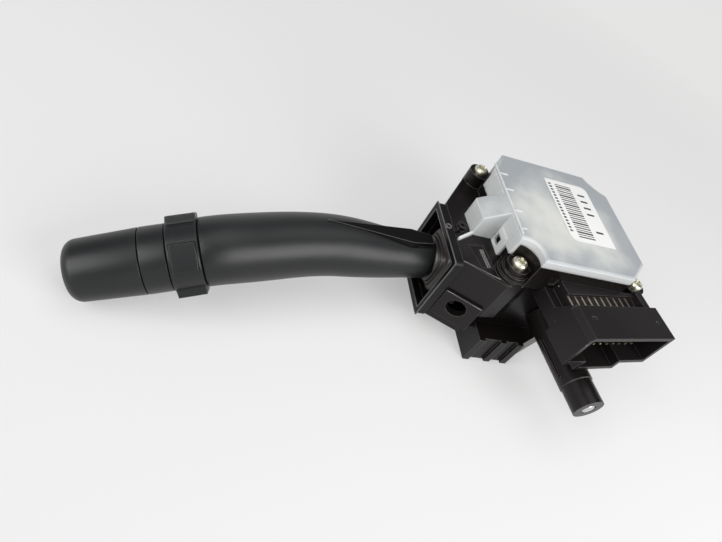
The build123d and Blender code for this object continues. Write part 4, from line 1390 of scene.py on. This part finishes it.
# Every finish of the switch by its short name.
FINISHES = {
    "stalk": MouldedPlastic(
        "stalk_satin", (0.0120, 0.0125, 0.0130), 0.37, grain_scale=5200.0, grain_depth=0.00003,
        painted_edge_colour=(0.085, 0.087, 0.09), dust_share=0.035, dust_size=0.06, specular=0.38,
    ),
    # The red lean of this near black is a painted reflection of a red surface.
    "housing": MouldedPlastic(
        "housing_gloss", (0.0070, 0.0052, 0.0050), 0.30, grain_depth=0.000012,
        painted_edge_colour=(0.16, 0.145, 0.14), edge_gain=3.5, dust_share=0.05, dust_size=0.10, specular=0.26,
    ),
    # The red lean of this near black is a painted reflection of a red surface.
    "shroud": MouldedPlastic(
        "connector_satin", (0.0100, 0.0080, 0.0082), 0.38, grain_depth=0.000012,
        painted_edge_colour=(0.13, 0.12, 0.12), edge_gain=3.0, dust_share=0.09, dust_size=0.10, specular=0.26,
    ),
    "gloss": MouldedPlastic(
        "bezel_gloss", (0.0045, 0.0042, 0.0042), 0.40, grain_depth=0.000006,
        painted_edge_colour=(0.10, 0.10, 0.10), edge_gain=2.0, roughness_spread=0.08, specular=0.20,
    ),
    "fin": MouldedPlastic(
        "fin_satin", (0.0035, 0.0035, 0.0035), 0.45, painted_edge_colour=(0.22, 0.22, 0.22), edge_gain=3.0,
        specular=0.12,
    ),
    "collar": MouldedPlastic(
        "collar_satin", (0.0105, 0.0105, 0.011), 0.40, painted_edge_colour=(0.05, 0.05, 0.05), specular=0.34,
    ),
    "shield": MouldedPlastic(
        "shield_grained", (0.030, 0.025, 0.024), 0.36, grain_scale=1500.0, grain_depth=0.00008,
        painted_edge_colour=(0.08, 0.08, 0.08), dust_share=0.05, dust_size=0.10,
    ),
    # The same grained plastic as the boot, made many times lighter so the shield deep in the bezel's shade
    # does not go black: painted light.
    "shield_painted_light": MouldedPlastic(
        "shield_grained_painted_light", (0.16, 0.135, 0.13), 0.55, grain_scale=1500.0, grain_depth=0.0001,
        painted_edge_colour=(0.2, 0.2, 0.2),
    ),
    # Far lighter than the housing's black: a painted highlight along the eased edges and on the roof pad; the
    # gloss adds real highlights too.
    "bead": MouldedPlastic(
        "edge_bead_highlight", (0.085, 0.080, 0.080), 0.22, grain_depth=0.000004, edge_gain=0.0, dust_share=0.0,
        specular=0.8,
    ),
    "natural": MouldedPlastic(
        "natural_acetal", (0.62, 0.60, 0.54), 0.42, painted_edge_colour=(0.75, 0.73, 0.68), dust_share=0.0,
    ),
    "board": MouldedPlastic(
        "board_laminate", (0.42, 0.36, 0.20), 0.45, painted_edge_colour=(0.55, 0.48, 0.3), dust_share=0.0,
    ),
    # Middle, margin, wall and edge colours: the lighter middle, the wall colour and the edge colour are
    # painted light.
    "cover": FrostedPlastic(
        "cover_frosted", (0.80, 0.81, 0.77), (0.42, 0.445, 0.465), (0.77, 0.79, 0.79), (0.88, 0.90, 0.91),
    ),
    # The ribs are the cover's own plastic; these colours, lighter than the cover's, are a painted highlight
    # along the ribs and the tongue.
    "rib": FrostedPlastic(
        "cover_rib_highlight", (0.88, 0.90, 0.90), (0.84, 0.87, 0.88), (0.86, 0.89, 0.90), (0.90, 0.92, 0.92),
    ),
    "paper": MouldedPlastic(
        "label_paper", (0.80, 0.80, 0.78), 0.55, grain_scale=1500.0, shade=0.05,
        painted_edge_colour=(0.6, 0.6, 0.6), dust_share=0.01, edge_gain=0.2,
    ),
    "ink": MouldedPlastic("label_ink", (0.02, 0.02, 0.025), 0.6, edge_gain=0.0, dust_share=0.0),
    "zinc": Metal(Coat.YELLOW_ZINC, (0.76, 0.74, 0.62), (0.56, 0.53, 0.38), 0.34),
    "tin": Metal(Coat.TIN, (0.70, 0.60, 0.46), (0.42, 0.32, 0.20), 0.30, 500.0),
    "steel": Metal(Coat.STEEL, (0.62, 0.62, 0.63), (0.40, 0.40, 0.41), 0.28),
    "brass": Metal(Coat.BRASS, (0.70, 0.55, 0.28), (0.45, 0.33, 0.15), 0.33),
}

# The finish of each node of the model.
NODE_FINISHES = {
    "housing": ("main_housing", "lower_case", "slide_base", "pivot_bridge"),
    "shroud": ("connector_housing",),
    "gloss": ("nose_bezel",),
    "fin": ("lever_fin",),
    "collar": ("lever_collar",),
    # the dust shield takes the lighter copy of the grained plastic: painted light
    "shield_painted_light": ("dust_shield",),
    "stalk": ("lever_arm", "selector_ring", "spacer_band", "end_knob"),
    "cover": ("rear_cover",),
    "zinc": ("cover_screws",),
    "tin": ("upper_terminals", "lower_terminals"),
    "steel": ("post_insert", "cross_pin", "lever_core", "detent_spring", "detent_plunger"),
    "natural": ("swing_carrier", "slider_guide", "sweep_slider", "knob_spindle", "detent_plate"),
    "board": ("contact_board", "head_contact_board"),
    "brass": ("knob_wiper",),
}


def dress_nodes(nodes: dict[str, bpy.types.Object], finishes: dict[str, bpy.types.Material]) -> None:
    """Give each node of the model its finish.

    Args:
        nodes: The model's nodes by name.
        finishes: The finishes by their short names.
    """
    for finish, names in NODE_FINISHES.items():
        for name in names:
            nodes[name].data.materials.clear()
            nodes[name].data.materials.append(finishes[finish])
            LOG.info("node %s gets %s", name, finishes[finish].name)
    missing = set(nodes) - {name for names in NODE_FINISHES.values() for name in names}
    if missing:
        raise RuntimeError(f"nodes with no finish: {sorted(missing)}")


# ---- studio ----------------------------------------------------------------------------


@dataclass
class Studio:
    """Camera, floor, lamps and world."""

    eye: Point = (-0.13747, -0.13933, 0.16619)
    right: Point = (0.91506965, -0.11768258, 0.38574389)
    down: Point = (0.15842255, -0.77470224, -0.61215907)
    forward: Point = (0.37087711, 0.62127872, -0.69026294)
    focal_px: float = 575.0
    frame_px: float = 722.0
    sensor_mm: float = 36.0
    even_share: float = 0.45
    even_from: float = 0.15
    even_to: float = 0.55
    floor_reach: float = 2200.0
    sweep_radius: float = 500.0
    wall_height: float = 900.0
    flat_reach: float = 600.0
    far_share: float = 0.97
    sweep_rings: int = 16
    around: int = 128
    target: Point = (-0.03, 0.0, 0.02)
    lamps: tuple[tuple[str, Point, float, float], ...] = (
        ("top", (0.02, 0.06, 1.30), 1.10, 5.6),
        ("key", (0.25, -0.42, 0.31), 0.38, 2.7),
        ("near", (-0.95, -0.42, 0.70), 0.95, 12.5),
        ("back", (-0.10, 0.80, 0.50), 0.60, 0.5),
    )
    floor_tones: tuple[Colour, Colour] = ((0.76, 0.76, 0.76), (0.80, 0.80, 0.79))
    unseen_tone: Colour = (0.22, 0.215, 0.21)
    even_tone: Colour = (0.79, 0.79, 0.785)
    sky: Colour = (0.9, 0.93, 1.0)
    sky_strength: float = 0.14

    def camera(self) -> None:
        """Place the camera and make it the scene's own."""
        data = bpy.data.cameras.new("view")
        data.sensor_width = self.sensor_mm
        data.lens = self.focal_px / self.frame_px * self.sensor_mm
        data.clip_start = 0.01
        camera = bpy.data.objects.new("view", data)
        bpy.context.scene.collection.objects.link(camera)
        columns = (Vector(self.right), -Vector(self.down), -Vector(self.forward))
        turn = Matrix(columns).transposed()
        camera.matrix_world = Matrix.Translation(self.eye) @ turn.to_4x4()
        bpy.context.scene.camera = camera

    def floor(self, height: float) -> None:
        """Lay a pale floor under the switch that curves up into a backdrop all round.

        Args:
            height: The floor's height in metres.
        """
        material = bpy.data.materials.new("pale_floor")
        material.use_nodes = True
        sheet = NodeSheet(material.node_tree)
        shader = sheet.add("BsdfPrincipled", Roughness=0.6)
        place = sheet.place()
        tone = sheet.noise(place, 3.0, 2.0)
        pale = sheet.blend(tone, *self.floor_tones)
        rays = sheet.add("LightPath")
        mirrored = sheet.maths("MAXIMUM", rays.outputs["Is Glossy Ray"], rays.outputs["Is Transmission Ray"])
        seen = sheet.maths("MAXIMUM", rays.outputs["Is Camera Ray"], mirrored)
        sheet.join(sheet.blend(seen, self.unseen_tone, pale), shader.inputs["Base Color"])
        even = sheet.add("Emission", Color=(*self.even_tone, 1.0))
        share = sheet.add("MixShader")
        length = sheet.add("VectorMath", operation="LENGTH")
        sheet.join(place, length.inputs[0])
        away = sheet.maths("SUBTRACT", length.outputs["Value"], self.even_from)
        away = sheet.maths("DIVIDE", away, self.even_to - self.even_from, clamp=True)
        gain = self.far_share - self.even_share
        evened = sheet.maths("ADD", sheet.maths("MULTIPLY", away, gain), self.even_share)
        sheet.join(sheet.maths("MULTIPLY", seen, evened), share.inputs[0])
        sheet.join(shader.outputs[0], share.inputs[1])
        sheet.join(even.outputs[0], share.inputs[2])
        out = sheet.add("OutputMaterial")
        sheet.join(share.outputs[0], out.inputs["Surface"])
        shader.inputs["Specular IOR Level"].default_value = 0.0
        sweep = [
            (self.sweep_radius * (1 - math.cos(a)), self.floor_reach + self.sweep_radius * math.sin(a))
            for a in np.linspace(0, math.pi / 2, self.sweep_rings)
        ]
        profile = np.array([(0.0, 0.001), (0.0, self.flat_reach), *sweep, (self.wall_height, sweep[-1][1])])
        rings = lathe(profile, UP * (height / MM), UP, Vector((1, 0, 0)), self.around)
        faces = loop_faces(len(profile), self.around)
        piece = make_piece("floor", rings.reshape(-1, 3), [faces[:, ::-1]], material)
        piece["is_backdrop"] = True

    def lamp(self, name: str, place: Point, size: float, power: float) -> None:
        """Hang a soft square lamp that faces the switch.

        Args:
            name: The lamp's name.
            place: Where it hangs, in metres.
            size: Its side in metres.
            power: Its power in watts.
        """
        data = bpy.data.lights.new(name, "AREA")
        data.size = size
        data.energy = power
        lamp = bpy.data.objects.new(name, data)
        lamp.location = place
        lamp.rotation_euler = (Vector(self.target) - Vector(place)).to_track_quat("-Z", "Y").to_euler()
        bpy.context.scene.collection.objects.link(lamp)

    def light(self) -> None:
        """Set the lamps and the world."""
        for row in self.lamps:
            self.lamp(*row)
        world = bpy.data.worlds.new("studio")
        world.use_nodes = True
        background = world.node_tree.nodes["Background"]
        background.inputs["Color"].default_value = (*self.sky, 1.0)
        background.inputs["Strength"].default_value = self.sky_strength
        bpy.context.scene.world = world
        bpy.context.scene.view_settings.view_transform = "Standard"


def main() -> None:
    """Load the model, dress it, add its own pieces and set the studio."""
    logging.basicConfig(level=logging.INFO, format="%(name)s: %(message)s")
    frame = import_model()
    model_box = [list(corner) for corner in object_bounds()]
    shop = Workshop()
    finishes = {name: recipe.material(shop) for name, recipe in FINISHES.items()}
    dress_nodes(frame["nodes"], finishes)
    stalk = StalkArm(HeadFrame())
    label = CoverLabel()
    made = [
        stalk.arm_piece(finishes["stalk"]),
        stalk.collar_piece(finishes["collar"]),
        DustBoot().piece(finishes["shield"]),
        # The pad takes the bead finish, lighter than the housing: a painted highlight.
        RoofTexture().piece(finishes["bead"]),
        EdgeBeads().piece(finishes["bead"]),
        # The tongue and the ribs take the rib finish, lighter than the cover: a painted highlight.
        HoodTongue().piece(finishes["rib"]),
        stalk.band_piece(finishes["stalk"]),
        stalk.knob_piece(finishes["stalk"]),
        stalk.ring_piece(finishes["stalk"]),
        CoverShell().piece(frame["nodes"]["rear_cover"], finishes["cover"]),
        CoverScrews().piece(finishes["zinc"]),
        label.sheet_piece(finishes["paper"]),
        label.print_piece(finishes["ink"]),
        CoverRibs().piece(finishes["rib"]),
    ]
    for piece in made:
        LOG.info("piece %s: %d faces", piece.name, len(piece.data.polygons))
    studio = Studio()
    studio.camera()
    studio.floor(min(model_box[0][2], 0.0))
    studio.light()


if __name__ == "__main__":
    main()
